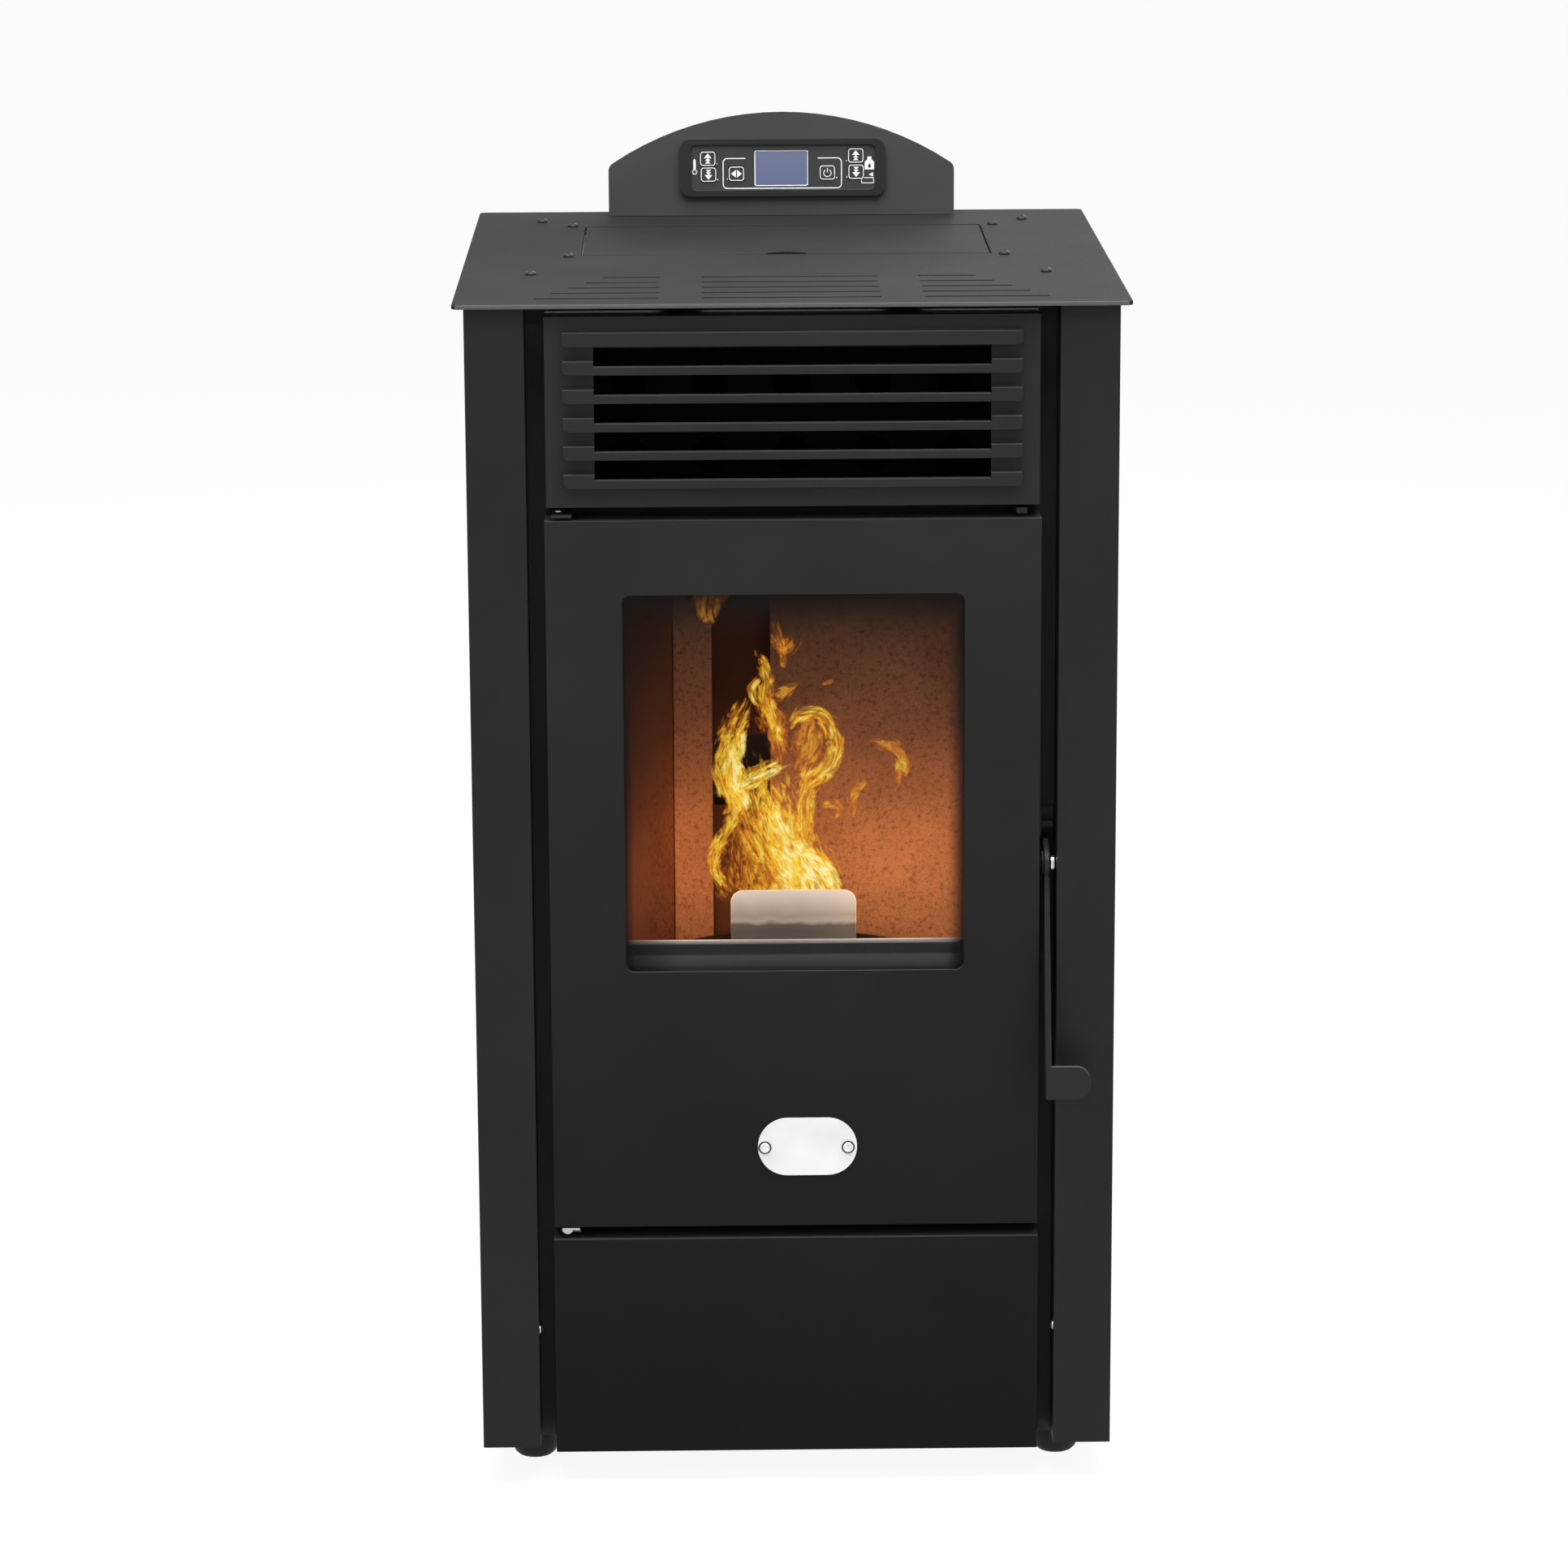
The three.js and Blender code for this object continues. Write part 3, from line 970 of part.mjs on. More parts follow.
// ---- Mains inlet --------------------------------------------------------------------
function makeInlet() {
  const plateY0 = rearPanelFront + SHEET + GAP;
  const plateY1 = plateY0 + SOCKET.rim;
  const { x, z, border, rim } = SOCKET;
  const halfW = SOCKET.width / 2 - 1;
  const halfH = SOCKET.height / 2 - 1;
  const rockerZ = z + ROCKER.above;
  const bodyFront = plateY0 - SOCKET.depth - ROCKER.depth / 2;
  const pocketX = ROCKER.width / 2 + GAP;
  const pocketZ = ROCKER.height / 2 + ROCKER.swing;
  piece('power_inlet', build([
    box(inletLeft - SOCKET.margin, inletRight + SOCKET.margin, plateY0, plateY1, inletLow - border,
      inletHigh + border),
    box(inletLeft, inletRight, bodyFront, plateY0 + 1, inletLow, inletHigh),
  ], [
    extrudeY(roundedRect(x - halfW, x + halfW, z - halfH, z + halfH, SOCKET.corner), plateY1 - SOCKET.depth,
      plateY1 + 1),
    box(x - pocketX, x + pocketX, plateY1 - ROCKER.depth - rim, plateY1 + 1, rockerZ - pocketZ,
      rockerZ + pocketZ),
  ]), plastic);
  const deep = rim - ROCKER.depth;
  const tall = ROCKER.height / 2;
  const rocker = piece('rocker_switch', extrudeX(polygon([[deep, -2], [deep, 2], [-1, tall], [1.6, tall],
    [0.6, 0], [1.6, -tall], [-1, -tall]]), -ROCKER.width / 2, ROCKER.width / 2), plastic);
  rocker.position.set(x, plateY1, rockerZ);
}

makeFeet();
makeBasePlate();
makeSidePanel('side_panel_left', -1);
makeSidePanel('side_panel_right', 1);
makeRearPanel();
makeTopPlate();
makeFrontFrame();
makeGrille();
piece('lower_front_panel', pan(LOWER.halfWidth, baseBottom, LOWER.top, panelBack), black);
makeDoor();
makeHinges();
makeHandle();
makeFirebox();
makeLiners();
makePot();
makeExchanger();
makeDrawer();
makeExhaust();
makeConvection();
makeHopper();
makeLid();
makeAuger();
makeConsole();
makeInlet();

export default stove;
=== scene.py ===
import math
import random
from functools import reduce

import bpy
from mathutils import Matrix, Vector


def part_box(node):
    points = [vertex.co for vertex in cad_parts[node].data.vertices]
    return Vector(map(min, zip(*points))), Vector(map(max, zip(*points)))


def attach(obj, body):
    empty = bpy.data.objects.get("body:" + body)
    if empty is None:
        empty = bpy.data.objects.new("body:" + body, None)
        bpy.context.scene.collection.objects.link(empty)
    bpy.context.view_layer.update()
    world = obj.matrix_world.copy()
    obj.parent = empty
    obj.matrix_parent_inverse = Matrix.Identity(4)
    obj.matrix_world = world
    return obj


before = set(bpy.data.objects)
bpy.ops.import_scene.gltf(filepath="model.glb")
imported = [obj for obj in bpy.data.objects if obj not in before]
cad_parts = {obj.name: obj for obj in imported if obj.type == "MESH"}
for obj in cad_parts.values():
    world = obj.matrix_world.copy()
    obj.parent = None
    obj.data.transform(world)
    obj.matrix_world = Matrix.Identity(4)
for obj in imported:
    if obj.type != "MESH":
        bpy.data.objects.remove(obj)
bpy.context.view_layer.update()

# Places are written in millimetres of the CAD source: x from the middle, y from the plate's front, z up.
MIDDLE_Y = 261.5
PLATE_TOP = 844
LINER_FACE = 196
RECESS_Y = 473.1
SIDES = {"left": -1, "right": 1}


def at(x, y, z):
    """A place of the CAD source, in Blender's metres."""
    return Vector((x / 1000, (y - MIDDLE_Y) / 1000, z / 1000))


def start_of(node, axis, corner=0):
    """Where a node starts along an axis, in millimetres of the CAD source."""
    value = getattr(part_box(node)[corner], axis) * 1000
    return value + MIDDLE_Y if axis == "y" else value


def end_of(node, axis):
    """Where a node ends along an axis, in millimetres of the CAD source."""
    return start_of(node, axis, corner=1)


# ---- Camera ---------------------------------------------------------------------------
# The camera that fits the photograph: its place in m, its angles in degrees, its lens and sensor in mm.
CAMERA_PLACE = (-0.06076, -3.84326, 1.35091)
PITCH, YAW, ROLL = 13.185, 0.857, -0.2633
LENS, SENSOR = 122.89, 36


def make_camera():
    pitch, yaw, roll = math.radians(PITCH), math.radians(YAW), math.radians(ROLL)
    ahead = Vector((math.sin(yaw) * math.cos(pitch), math.cos(yaw) * math.cos(pitch), -math.sin(pitch)))
    side = Vector((math.cos(yaw), -math.sin(yaw), 0))
    up = side.cross(ahead)
    right = side * math.cos(roll) + up * math.sin(roll)
    top = up * math.cos(roll) - side * math.sin(roll)
    data = bpy.data.cameras.new("camera")
    data.lens = LENS
    data.sensor_width = SENSOR
    data.clip_start, data.clip_end = 0.1, 200
    camera = bpy.data.objects.new("camera", data)
    bpy.context.scene.collection.objects.link(camera)
    turn = Matrix((right, top, -ahead)).transposed().to_4x4()
    camera.matrix_world = Matrix.Translation(CAMERA_PLACE) @ turn
    bpy.context.scene.camera = camera


# ---- Materials ------------------------------------------------------------------------
# Noise scales, in waves per metre.
POWDER_CLOUDS, PLASTIC_CLOUDS, ORANGE_PEEL, MOULD_GRAIN = 9, 30, 1400, 2200
BLACK, WHITE = (0, 0, 0), (1, 1, 1)


class Shader:
    """A procedural material: a Principled shader and short calls for the nodes that feed it."""

    def __init__(self, name, color, roughness, metallic=0.0, specular=0.5):
        self.material = bpy.data.materials.new(name)
        self.material.use_nodes = True
        self.tree = self.material.node_tree
        self.shader = self.tree.nodes["Principled BSDF"]
        self.set("Base Color", (*color, 1))
        self.set("Roughness", roughness)
        self.set("Metallic", metallic)
        self.set("Specular IOR Level", specular)
        self.place = self.tree.nodes.new("ShaderNodeTexCoord").outputs["Object"]

    def set(self, socket, value):
        self.shader.inputs[socket].default_value = value

    def link(self, source, socket):
        self.tree.links.new(source, self.shader.inputs[socket])

    def noise(self, scale, detail=2.0, roughness=0.5, stretch=None, distortion=0.0):
        node = self.tree.nodes.new("ShaderNodeTexNoise")
        node.inputs["Scale"].default_value = scale
        node.inputs["Detail"].default_value = detail
        node.inputs["Roughness"].default_value = roughness
        node.inputs["Distortion"].default_value = distortion
        self.tree.links.new(self.stretched(stretch), node.inputs["Vector"])
        return node.outputs["Fac"]

    def stretched(self, stretch):
        if stretch is None:
            return self.place
        node = self.tree.nodes.new("ShaderNodeMapping")
        node.inputs["Scale"].default_value = stretch
        self.tree.links.new(self.place, node.inputs["Vector"])
        return node.outputs["Vector"]

    def part(self, source, name):
        node = self.tree.nodes.new("ShaderNodeSeparateXYZ")
        self.tree.links.new(source, node.inputs[0])
        return node.outputs[name]

    def axis(self, name):
        return self.part(self.place, name)

    def along(self, axis, first, last, new_first=0.0, new_last=1.0):
        """Runs from new_first to new_last between two places in mm on an axis."""
        shift = MIDDLE_Y if axis == "Y" else 0
        return self.remap(self.axis(axis), (first - shift) / 1000, (last - shift) / 1000, new_first, new_last)

    def upward(self):
        """How far a surface looks up, from -1 to 1."""
        return self.part(self.tree.nodes.new("ShaderNodeTexCoord").outputs["Normal"], "Z")

    def ramp(self, source, stops):
        node = self.tree.nodes.new("ShaderNodeValToRGB")
        self.tree.links.new(source, node.inputs["Fac"])
        marks = node.color_ramp.elements
        while len(marks) < len(stops):
            marks.new(0.5)
        for mark, (place, color) in zip(marks, stops):
            mark.position = place
            mark.color = (*color, 1)
        return node.outputs["Color"]

    def remap(self, source, low, high, new_low=0.0, new_high=1.0):
        node = self.tree.nodes.new("ShaderNodeMapRange")
        self.tree.links.new(source, node.inputs["Value"])
        limits = {"From Min": low, "From Max": high, "To Min": new_low, "To Max": new_high}
        for socket, value in limits.items():
            node.inputs[socket].default_value = value
        return node.outputs["Result"]

    def calc(self, kind, first, second=0.0):
        node = self.tree.nodes.new("ShaderNodeMath")
        node.operation = kind
        for socket, value in zip(node.inputs, (first, second)):
            if isinstance(value, (int, float)):
                socket.default_value = value
            else:
                self.tree.links.new(value, socket)
        return node.outputs[0]

    def plus(self, *terms):
        return reduce(lambda a, b: self.calc("ADD", a, b), terms)

    def times(self, *factors):
        return reduce(lambda a, b: self.calc("MULTIPLY", a, b), factors)

    def mix(self, factor, first, second, blend="MIX"):
        node = self.tree.nodes.new("ShaderNodeMix")
        node.data_type = "RGBA"
        node.blend_type = blend
        sockets = [s for s in node.inputs if s.type == "RGBA"]
        for socket, value in zip([node.inputs[0], *sockets], (factor, first, second)):
            if isinstance(value, (int, float)):
                socket.default_value = value
            elif isinstance(value, tuple):
                socket.default_value = (*value, 1)
            else:
                self.tree.links.new(value, socket)
        return [s for s in node.outputs if s.type == "RGBA"][0]

    def bump(self, source, strength, distance):
        node = self.tree.nodes.new("ShaderNodeBump")
        node.inputs["Strength"].default_value = strength
        node.inputs["Distance"].default_value = distance
        self.tree.links.new(source, node.inputs["Height"])
        self.link(node.outputs["Normal"], "Normal")


def tint(color, factor):
    return tuple(c * factor for c in color)


def powder(name, color, roughness, specular=0.13, shade_by_height=None, edge=None, front=None):
    """Powder-coated steel: a fine orange peel, faint clouding and slightly varied gloss. The height setting
    paints
    shade: it lists the height in mm where the painted shade is darkest, where it is lightest, and how dark
    that is. What looks up is lighter by edge, a painted highlight, and front is the colour of a painted
    highlight on the first millimetre from the front."""
    s = Shader(name, color, roughness, specular=specular)
    shade = s.ramp(s.noise(POWDER_CLOUDS, 3), [(0.3, tint(color, 0.88)), (0.7, tint(color, 1.12))])
    # Painted shade, darker towards the bottom.
    if shade_by_height:
        low, high, deepest_shade = shade_by_height
        depth = s.ramp(s.along("Z", low, high), [(0, tint(WHITE, deepest_shade)), (1, WHITE)])
        shade = s.mix(1.0, shade, depth, "MULTIPLY")
    # Painted highlight on faces that look up, such as top edges.
    if edge:
        shade = s.mix(s.remap(s.upward(), 0.25, 0.8), shade, tint(color, edge))
    # Painted highlight along the front edge.
    if front:
        shade = s.mix(s.along("Y", 1.0, 0.5), shade, front)
    s.link(shade, "Base Color")
    fine = s.noise(ORANGE_PEEL, 2, 0.6)
    s.link(s.remap(fine, 0.3, 0.7, roughness - 0.06, roughness + 0.08), "Roughness")
    s.bump(fine, 0.25, 0.0002)
    return s.material


def metal(name, color, roughness, grain, stretch=(1, 1, 1)):
    """Bare metal with fine lines: grain is their scale, and stretch squeezes them along an axis."""
    s = Shader(name, color, roughness, metallic=1.0)
    lines = s.noise(grain, 3, 0.6, stretch)
    s.link(s.ramp(lines, [(0.3, tint(color, 0.85)), (0.7, tint(color, 1.1))]), "Base Color")
    s.link(s.remap(lines, 0.3, 0.7, roughness - 0.07, roughness + 0.1), "Roughness")
    s.bump(lines, 0.08, 0.0002)
    return s.material


def plastic(name, color, roughness, specular=0.4):
    """Moulded or painted surface with a faint grain."""
    s = Shader(name, color, roughness, specular=specular)
    clouds = s.noise(PLASTIC_CLOUDS, 2)
    s.link(s.ramp(clouds, [(0.3, tint(color, 0.93)), (0.7, tint(color, 1.07))]), "Base Color")
    s.bump(s.noise(MOULD_GRAIN, 2), 0.08, 0.0001)
    return s.material


def cast_iron():
    """Rough dark iron with sooty patches."""
    s = Shader("cast_iron", (0.03, 0.027, 0.025), 0.6, metallic=0.3, specular=0.3)
    soot_and_painted_shade = s.noise(14, 3)
    s.link(s.ramp(soot_and_painted_shade, [(0.35, (0.014, 0.012, 0.011)), (0.7, (0.055, 0.045, 0.038))]), "Base Color")
    rough = s.noise(260, 4, 0.65)
    s.link(s.remap(rough, 0.3, 0.7, 0.5, 0.8), "Roughness")
    s.bump(rough, 0.4, 0.0005)
    return s.material


def shield():
    """Brushed stainless sheet in painted firelight: lighter towards its top edge, with a painted highlight
    along its bend and painted shade below it.
    """
    s = Shader("shield_stainless", (0.5, 0.45, 0.39), 0.42, metallic=0.2)
    wavy = s.plus(s.along("Z", 384, 421), s.times(s.plus(s.noise(45, 3), -0.5), 0.3))
    # Painted light and shade by height: the bright step at the bend is a painted highlight, the dark part
    # below is painted shade, and the same colour glows faintly as painted firelight.
    painted_light_and_shade = s.ramp(wavy, [(0.0, (0.09, 0.083, 0.073)), (0.3, (0.115, 0.1, 0.087)), (0.4, (0.46, 0.41, 0.355)),
                         (0.5, (0.37, 0.32, 0.275)), (1.0, (0.55, 0.5, 0.44))])
    s.link(painted_light_and_shade, "Base Color")
    s.link(painted_light_and_shade, "Emission Color")
    s.set("Emission Strength", 0.22)
    lines = s.noise(220, 2, 0.5, (1, 1, 10))
    s.link(s.remap(lines, 0.3, 0.7, 0.36, 0.52), "Roughness")
    s.bump(lines, 0.06, 0.0002)
    return s.material


def vermiculite():
    """Pressed board with flecks, in painted firelight: bright brown low down and darker with height, painted
    shade towards the left with a painted highlight on the rib beside the channel, and the deepest painted
    shade in the channel of the back liner."""
    s = Shader("vermiculite", (0.3, 0.16, 0.09), 0.9, specular=0.03)
    # Painted firelight: bright low down and darker with height.
    height = s.along("Z", 360, 650)
    color = s.ramp(height, [(0.0, (0.56, 0.275, 0.14)), (0.22, (0.54, 0.255, 0.125)),
                            (0.5, (0.225, 0.112, 0.07)), (0.78, (0.105, 0.067, 0.05)),
                            (1.0, (0.045, 0.03, 0.025))])
    # Painted shade towards the left, and a slightly lighter band as a painted highlight on the rib.
    aside = s.ramp(s.along("X", -150, -30), [(0.0, (0.12, 0.07, 0.05)), (0.3, (0.3, 0.2, 0.15)),
                                             (0.54, (0.6, 0.46, 0.38)), (0.56, (1.1, 1.05, 1.02)),
                                             (0.8, (1.05, 1.03, 1.02)), (1.0, WHITE)])
    coarse = s.ramp(s.noise(300, 3, 0.7), [(0.34, (0.66, 0.64, 0.63)), (0.45, WHITE),
                                           (0.64, (1.16, 1.14, 1.12))])
    fine = s.ramp(s.noise(900, 2, 0.7), [(0.35, (0.8, 0.79, 0.78)), (0.65, (1.16, 1.15, 1.14))])
    clouds = s.ramp(s.noise(14, 3), [(0.3, (0.75, 0.73, 0.72)), (0.65, (1.05, 1.05, 1.05))])
    for layer in (aside, coarse, fine, clouds):
        color = s.mix(1.0, color, layer, "MULTIPLY")
    # Painted shade in the channel, a little lighter low down in painted firelight.
    channel = s.ramp(height, [(0.0, (0.17, 0.066, 0.034)), (0.25, (0.09, 0.034, 0.018)),
                              (0.6, (0.034, 0.013, 0.008))])
    behind = s.along("Y", LINER_FACE + 1, LINER_FACE + 4)
    s.link(s.mix(behind, color, channel), "Base Color")
    s.bump(s.noise(420, 4, 0.7), 0.2, 0.0006)
    return s.material


def glass():
    """Clear ceramic glass with a faint haze, painted shade in a band along its edges and painted shade over
    its left side.
    """
    s = Shader("ceramic_glass", (0.006, 0.005, 0.0045), 0.04, specular=0.08)
    haze = s.remap(s.noise(6, 3), 0.3, 0.7, 0.03, 0.08)
    # Painted shade: darker along the side and top edges, and over the left side.
    from_middle = s.calc("ABSOLUTE", s.axis("X"))
    edge = s.calc("MAXIMUM", s.remap(from_middle, 0.104, 0.1176), s.along("Z", 610, 643.4))
    soot_and_painted_shade = s.times(s.calc("POWER", edge, 1.8), 0.8)
    left = s.along("X", -80, -117, 0.0, 0.3)
    s.link(s.plus(haze, s.calc("MAXIMUM", soot_and_painted_shade, left)), "Alpha")
    return s.material


def ledge():
    """Black bar at the foot of the window, in painted light and shade: a lighter lower band that looks up,
    painted shade on the upper band and a painted highlight on the top edge.
    """
    s = Shader("ledge_black", (0.02, 0.02, 0.02), 0.5, specular=0.2)
    # Painted light and shade by height, from the lit lower band to the highlight on the top edge.
    painted_light_bands = s.ramp(s.along("Z", 373.1, 396.1), [(0.0, (0.03, 0.03, 0.029)), (0.54, (0.045, 0.045, 0.044)),
                                                (0.58, (0.012, 0.012, 0.012)), (0.88, (0.01, 0.01, 0.01)),
                                                (0.94, (0.21, 0.195, 0.18))])
    s.link(painted_light_bands, "Base Color")
    s.bump(s.noise(ORANGE_PEEL, 2, 0.6), 0.25, 0.0002)
    return s.material


def pivot():
    """Bright domed head to the right of the lever's blade and a black shank to the left."""
    s = Shader("pivot_steel", (0.6, 0.59, 0.57), 0.25, specular=0.02)
    head = s.along("X", 177.2, 177.6)
    s.link(s.mix(head, (0.008, 0.008, 0.008), (0.66, 0.65, 0.63)), "Base Color")
    s.link(head, "Metallic")
    s.link(s.remap(s.noise(300, 2), 0.3, 0.7, 0.18, 0.32), "Roughness")
    return s.material


def bezel():
    """Moulded frame: a dark rounded rim, painted shade that blackens the walls round the keypad, and a greyer
    keypad.
    """
    s = Shader("bezel_plastic", (0.02, 0.02, 0.02), 0.42, specular=0.3)
    keypad = s.along("Y", RECESS_Y - 0.15, RECESS_Y - 0.05)
    # Painted shade on the walls round the keypad.
    wall_shade = s.along("Y", RECESS_Y - 1.35, RECESS_Y - 1.15)
    rim_and_wall_shade = s.mix(wall_shade, (0.014, 0.014, 0.014), (0.001, 0.001, 0.001))
    s.link(s.mix(keypad, rim_and_wall_shade, (0.036, 0.036, 0.036)), "Base Color")
    s.bump(s.noise(MOULD_GRAIN, 2), 0.08, 0.0001)
    return s.material


def rope():
    """Braided seal of glass fibre."""
    color = (0.16, 0.15, 0.135)
    s = Shader("rope_seal", color, 0.9, specular=0.2)
    strands = s.noise(300, 3, 0.6, (1, 0.4, 1))
    s.link(s.ramp(strands, [(0.35, tint(color, 0.5)), (0.65, tint(color, 1.2))]), "Base Color")
    s.bump(strands, 0.7, 0.001)
    return s.material


def display():
    """A blue back-lit panel, a little brighter towards its top."""
    s = Shader("display", (0.1, 0.12, 0.22), 0.2, specular=0.3)
    glow = s.ramp(s.along("Z", 866, 894), [(0, (0.085, 0.102, 0.19)), (1, (0.102, 0.118, 0.183))])
    s.link(glow, "Base Color")
    s.link(glow, "Emission Color")
    s.set("Emission Strength", 0.4)
    return s.material


def flame(name, heat, opacity, rise):
    """A thin sheet of fire: the map "flow" runs 0 to 1 across and up it, and "span" measures it in cm.
    It fades at its edges and along rise, and twisted streaks tear it into strands."""
    s = Shader(name, BLACK, 1.0, specular=0.0)
    maps = {}
    for layer in ("flow", "span"):
        node = s.tree.nodes.new("ShaderNodeUVMap")
        node.uv_map = layer
        maps[layer] = node.outputs["UV"]
    s.place = maps["span"]
    turn = s.times(s.calc("FRACT", s.part(maps["flow"], "X")), math.pi)
    across = s.calc("POWER", s.calc("SINE", turn), 0.7)
    up = s.ramp(s.part(maps["flow"], "Y"), [(place, tint(WHITE, level)) for place, level in rise])
    body = s.times(across, up)
    streaks = s.noise(1.0, 4, 0.6, (1.3, 0.5, 1), distortion=1.6)
    torn = s.plus(s.times(body, 1.15), s.times(streaks, 2.0), -1.5)
    strands = s.noise(1.0, 3, 0.55, (1.9, 0.42, 1), distortion=1.5)
    off_strand = s.calc("ABSOLUTE", s.times(s.plus(strands, -0.5), 7))
    thread = s.remap(s.calc("SUBTRACT", 1.0, off_strand), 0.0, 1.0)
    veil = s.remap(torn, 0.0, 0.4)
    density = s.plus(s.times(thread, 0.5), 0.5)
    inside = s.remap(body, 0.0, 0.25)
    s.link(s.times(veil, density, inside, opacity), "Alpha")
    fine = s.noise(1.0, 4, 0.6, (2.0, 0.8, 1), distortion=1.0)
    stir = s.plus(s.times(s.plus(fine, -0.5), 1.6), s.times(thread, 0.25))
    glow = s.plus(s.times(torn, 0.6), heat, stir)
    fire = s.ramp(glow, [(0.0, (0.36, 0.07, 0.008)), (0.25, (0.7, 0.2, 0.02)), (0.5, (0.95, 0.42, 0.03)),
                         (0.78, (1.0, 0.7, 0.05)), (1.0, (1.0, 0.9, 0.4))])
    s.link(fire, "Emission Color")
    s.set("Emission Strength", 1.05)
    return s.material


def ember():
    """Charred pellets with glowing spots."""
    s = Shader("ember", (0.05, 0.02, 0.01), 0.9, specular=0.1)
    glow = s.ramp(s.noise(180, 3), [(0.4, (0.02, 0.008, 0.005)), (0.5, (0.8, 0.12, 0.01)),
                                    (0.65, (1, 0.4, 0.06))])
    s.link(glow, "Emission Color")
    s.set("Emission Strength", 2.5)
    return s.material


def make_materials():
    return {
        "casing": powder("casing_black", (0.0125, 0.0125, 0.0123), 0.46),
        # Painted light and shade: the height settings darken the door and the lower panel towards the floor,
        # the edge factors paint highlights on what looks up, and the top's front colour paints a highlight on
        # the plate's front edge.
        "door": powder("door_black", (0.0152, 0.0152, 0.0147), 0.44, shade_by_height=(190, 700, 0.3), edge=3.5),
        "lever": powder("lever_black", (0.0165, 0.0165, 0.0163), 0.44, edge=4.0),
        "grille": powder("grille_black", (0.016, 0.016, 0.0156), 0.4, edge=3.0),
        "panel": powder("panel_black", (0.0055, 0.0055, 0.0054), 0.44, 0.11, shade_by_height=(20, 200, 0.45), edge=8.0),
        "top": powder("top_grey_black", (0.0185, 0.0185, 0.018), 0.66, 0.03, front=(0.085, 0.085, 0.083)),
        "console": powder("console_grey_black", (0.048, 0.048, 0.048), 0.5),
        "frame": powder("frame_black", (0.034, 0.034, 0.033), 0.6, 0.1),
        "ledge": ledge(),
        "pivot": pivot(),
        "clip": metal("clip_steel", (0.55, 0.54, 0.52), 0.3, 200),
        "steel": metal("zinc_plated_steel", (0.5, 0.49, 0.47), 0.36, 60, (1, 1, 14)),
        "bright": metal("bright_screw", (0.78, 0.77, 0.75), 0.2, 300),
        "dark_screw": plastic("dark_screw", (0.016, 0.016, 0.016), 0.42, 0.2),
        "cast": cast_iron(),
        "shield": shield(),
        "board": vermiculite(),
        "glass": glass(),
        "rope": rope(),
        "rubber": plastic("rubber", (0.006, 0.006, 0.006), 0.6, 0.3),
        "plastic": plastic("black_plastic", (0.013, 0.013, 0.0135), 0.38),
        "bezel": bezel(),
        "key": plastic("key_plastic", (0.035, 0.035, 0.036), 0.4, 0.2),
        "display": display(),
        "badge": plastic("badge_satin", (0.7, 0.7, 0.685), 0.42),
        "rim": plastic("rivet_shadow_rim", (0.02, 0.02, 0.02), 0.6, 0.1),
        "circuit": plastic("circuit_board", (0.015, 0.1, 0.04), 0.4),
        "print": plastic("white_print", (0.82, 0.82, 0.82), 0.5),
        "core": flame("flame_core", 0.4, 0.92, [(0.0, 0.55), (0.12, 1.0), (0.6, 0.8), (1.0, 0.0)]),
        "flame": flame("flame_body", 0.14, 0.82, [(0.0, 0.5), (0.15, 1.0), (0.65, 0.8), (1.0, 0.0)]),
        "veil": flame("flame_veil", -0.16, 0.6, [(0.0, 0.7), (0.3, 1.0), (0.7, 0.8), (1.0, 0.0)]),
        "wisp": flame("flame_wisp", -0.06, 0.6, [(0.0, 0.0), (0.3, 0.9), (0.65, 0.8), (1.0, 0.0)]),
        # Near black on the heat exchanger: painted shade behind the grille's louvres.
        "inner": plastic("painted_shade_black", (0.0035, 0.0035, 0.0035), 0.9, 0.0),
        "ember": ember(),
    }


# ---- CAD nodes: materials, eased edges and smooth shading --------------------------------
FINISH = {
    "casing": ["side_panel_left", "side_panel_right", "rear_panel", "base_plate"],
    "lever": ["handle_lever"],
    "door": ["door_panel"],
    "panel": ["lower_front_panel"],
    "grille": ["air_grille"],
    "top": ["top_plate", "hopper_lid"],
    "console": ["console_shell", "console_cover"],
    "frame": ["front_frame", "door_inner_frame", "hinge_upper", "hinge_lower", "latch_keeper"],
    "ledge": ["glass_ledge"],
    # The heat exchanger takes the near black of painted shade.
    "inner": ["heat_exchanger"],
    "steel": ["ash_drawer", "exhaust_housing", "flue_spigot", "exhaust_impeller", "hopper",
              "convection_housing", "convection_impeller", "auger_tube", "auger_screw", "igniter",
              "air_intake_pipe"],
    "pivot": ["handle_pivot"],
    "shield": ["pot_shield"],
    "cast": ["firebox", "pot_holder", "burn_pot", "exhaust_motor", "convection_motor", "gearmotor"],
    "board": ["liner_back", "liner_left", "liner_right", "baffle_plate"],
    "glass": ["door_glass"],
    "rope": ["door_gasket"],
    "rubber": ["foot_front_left", "foot_front_right", "foot_rear_left", "foot_rear_right"],
    "bezel": ["keypad_bezel"],
    "plastic": ["power_inlet", "rocker_switch"],
    "key": ["key_%d" % n for n in range(1, 7)],
    "display": ["display_panel"],
    "badge": ["badge_plate"],
    "circuit": ["control_board"],
}
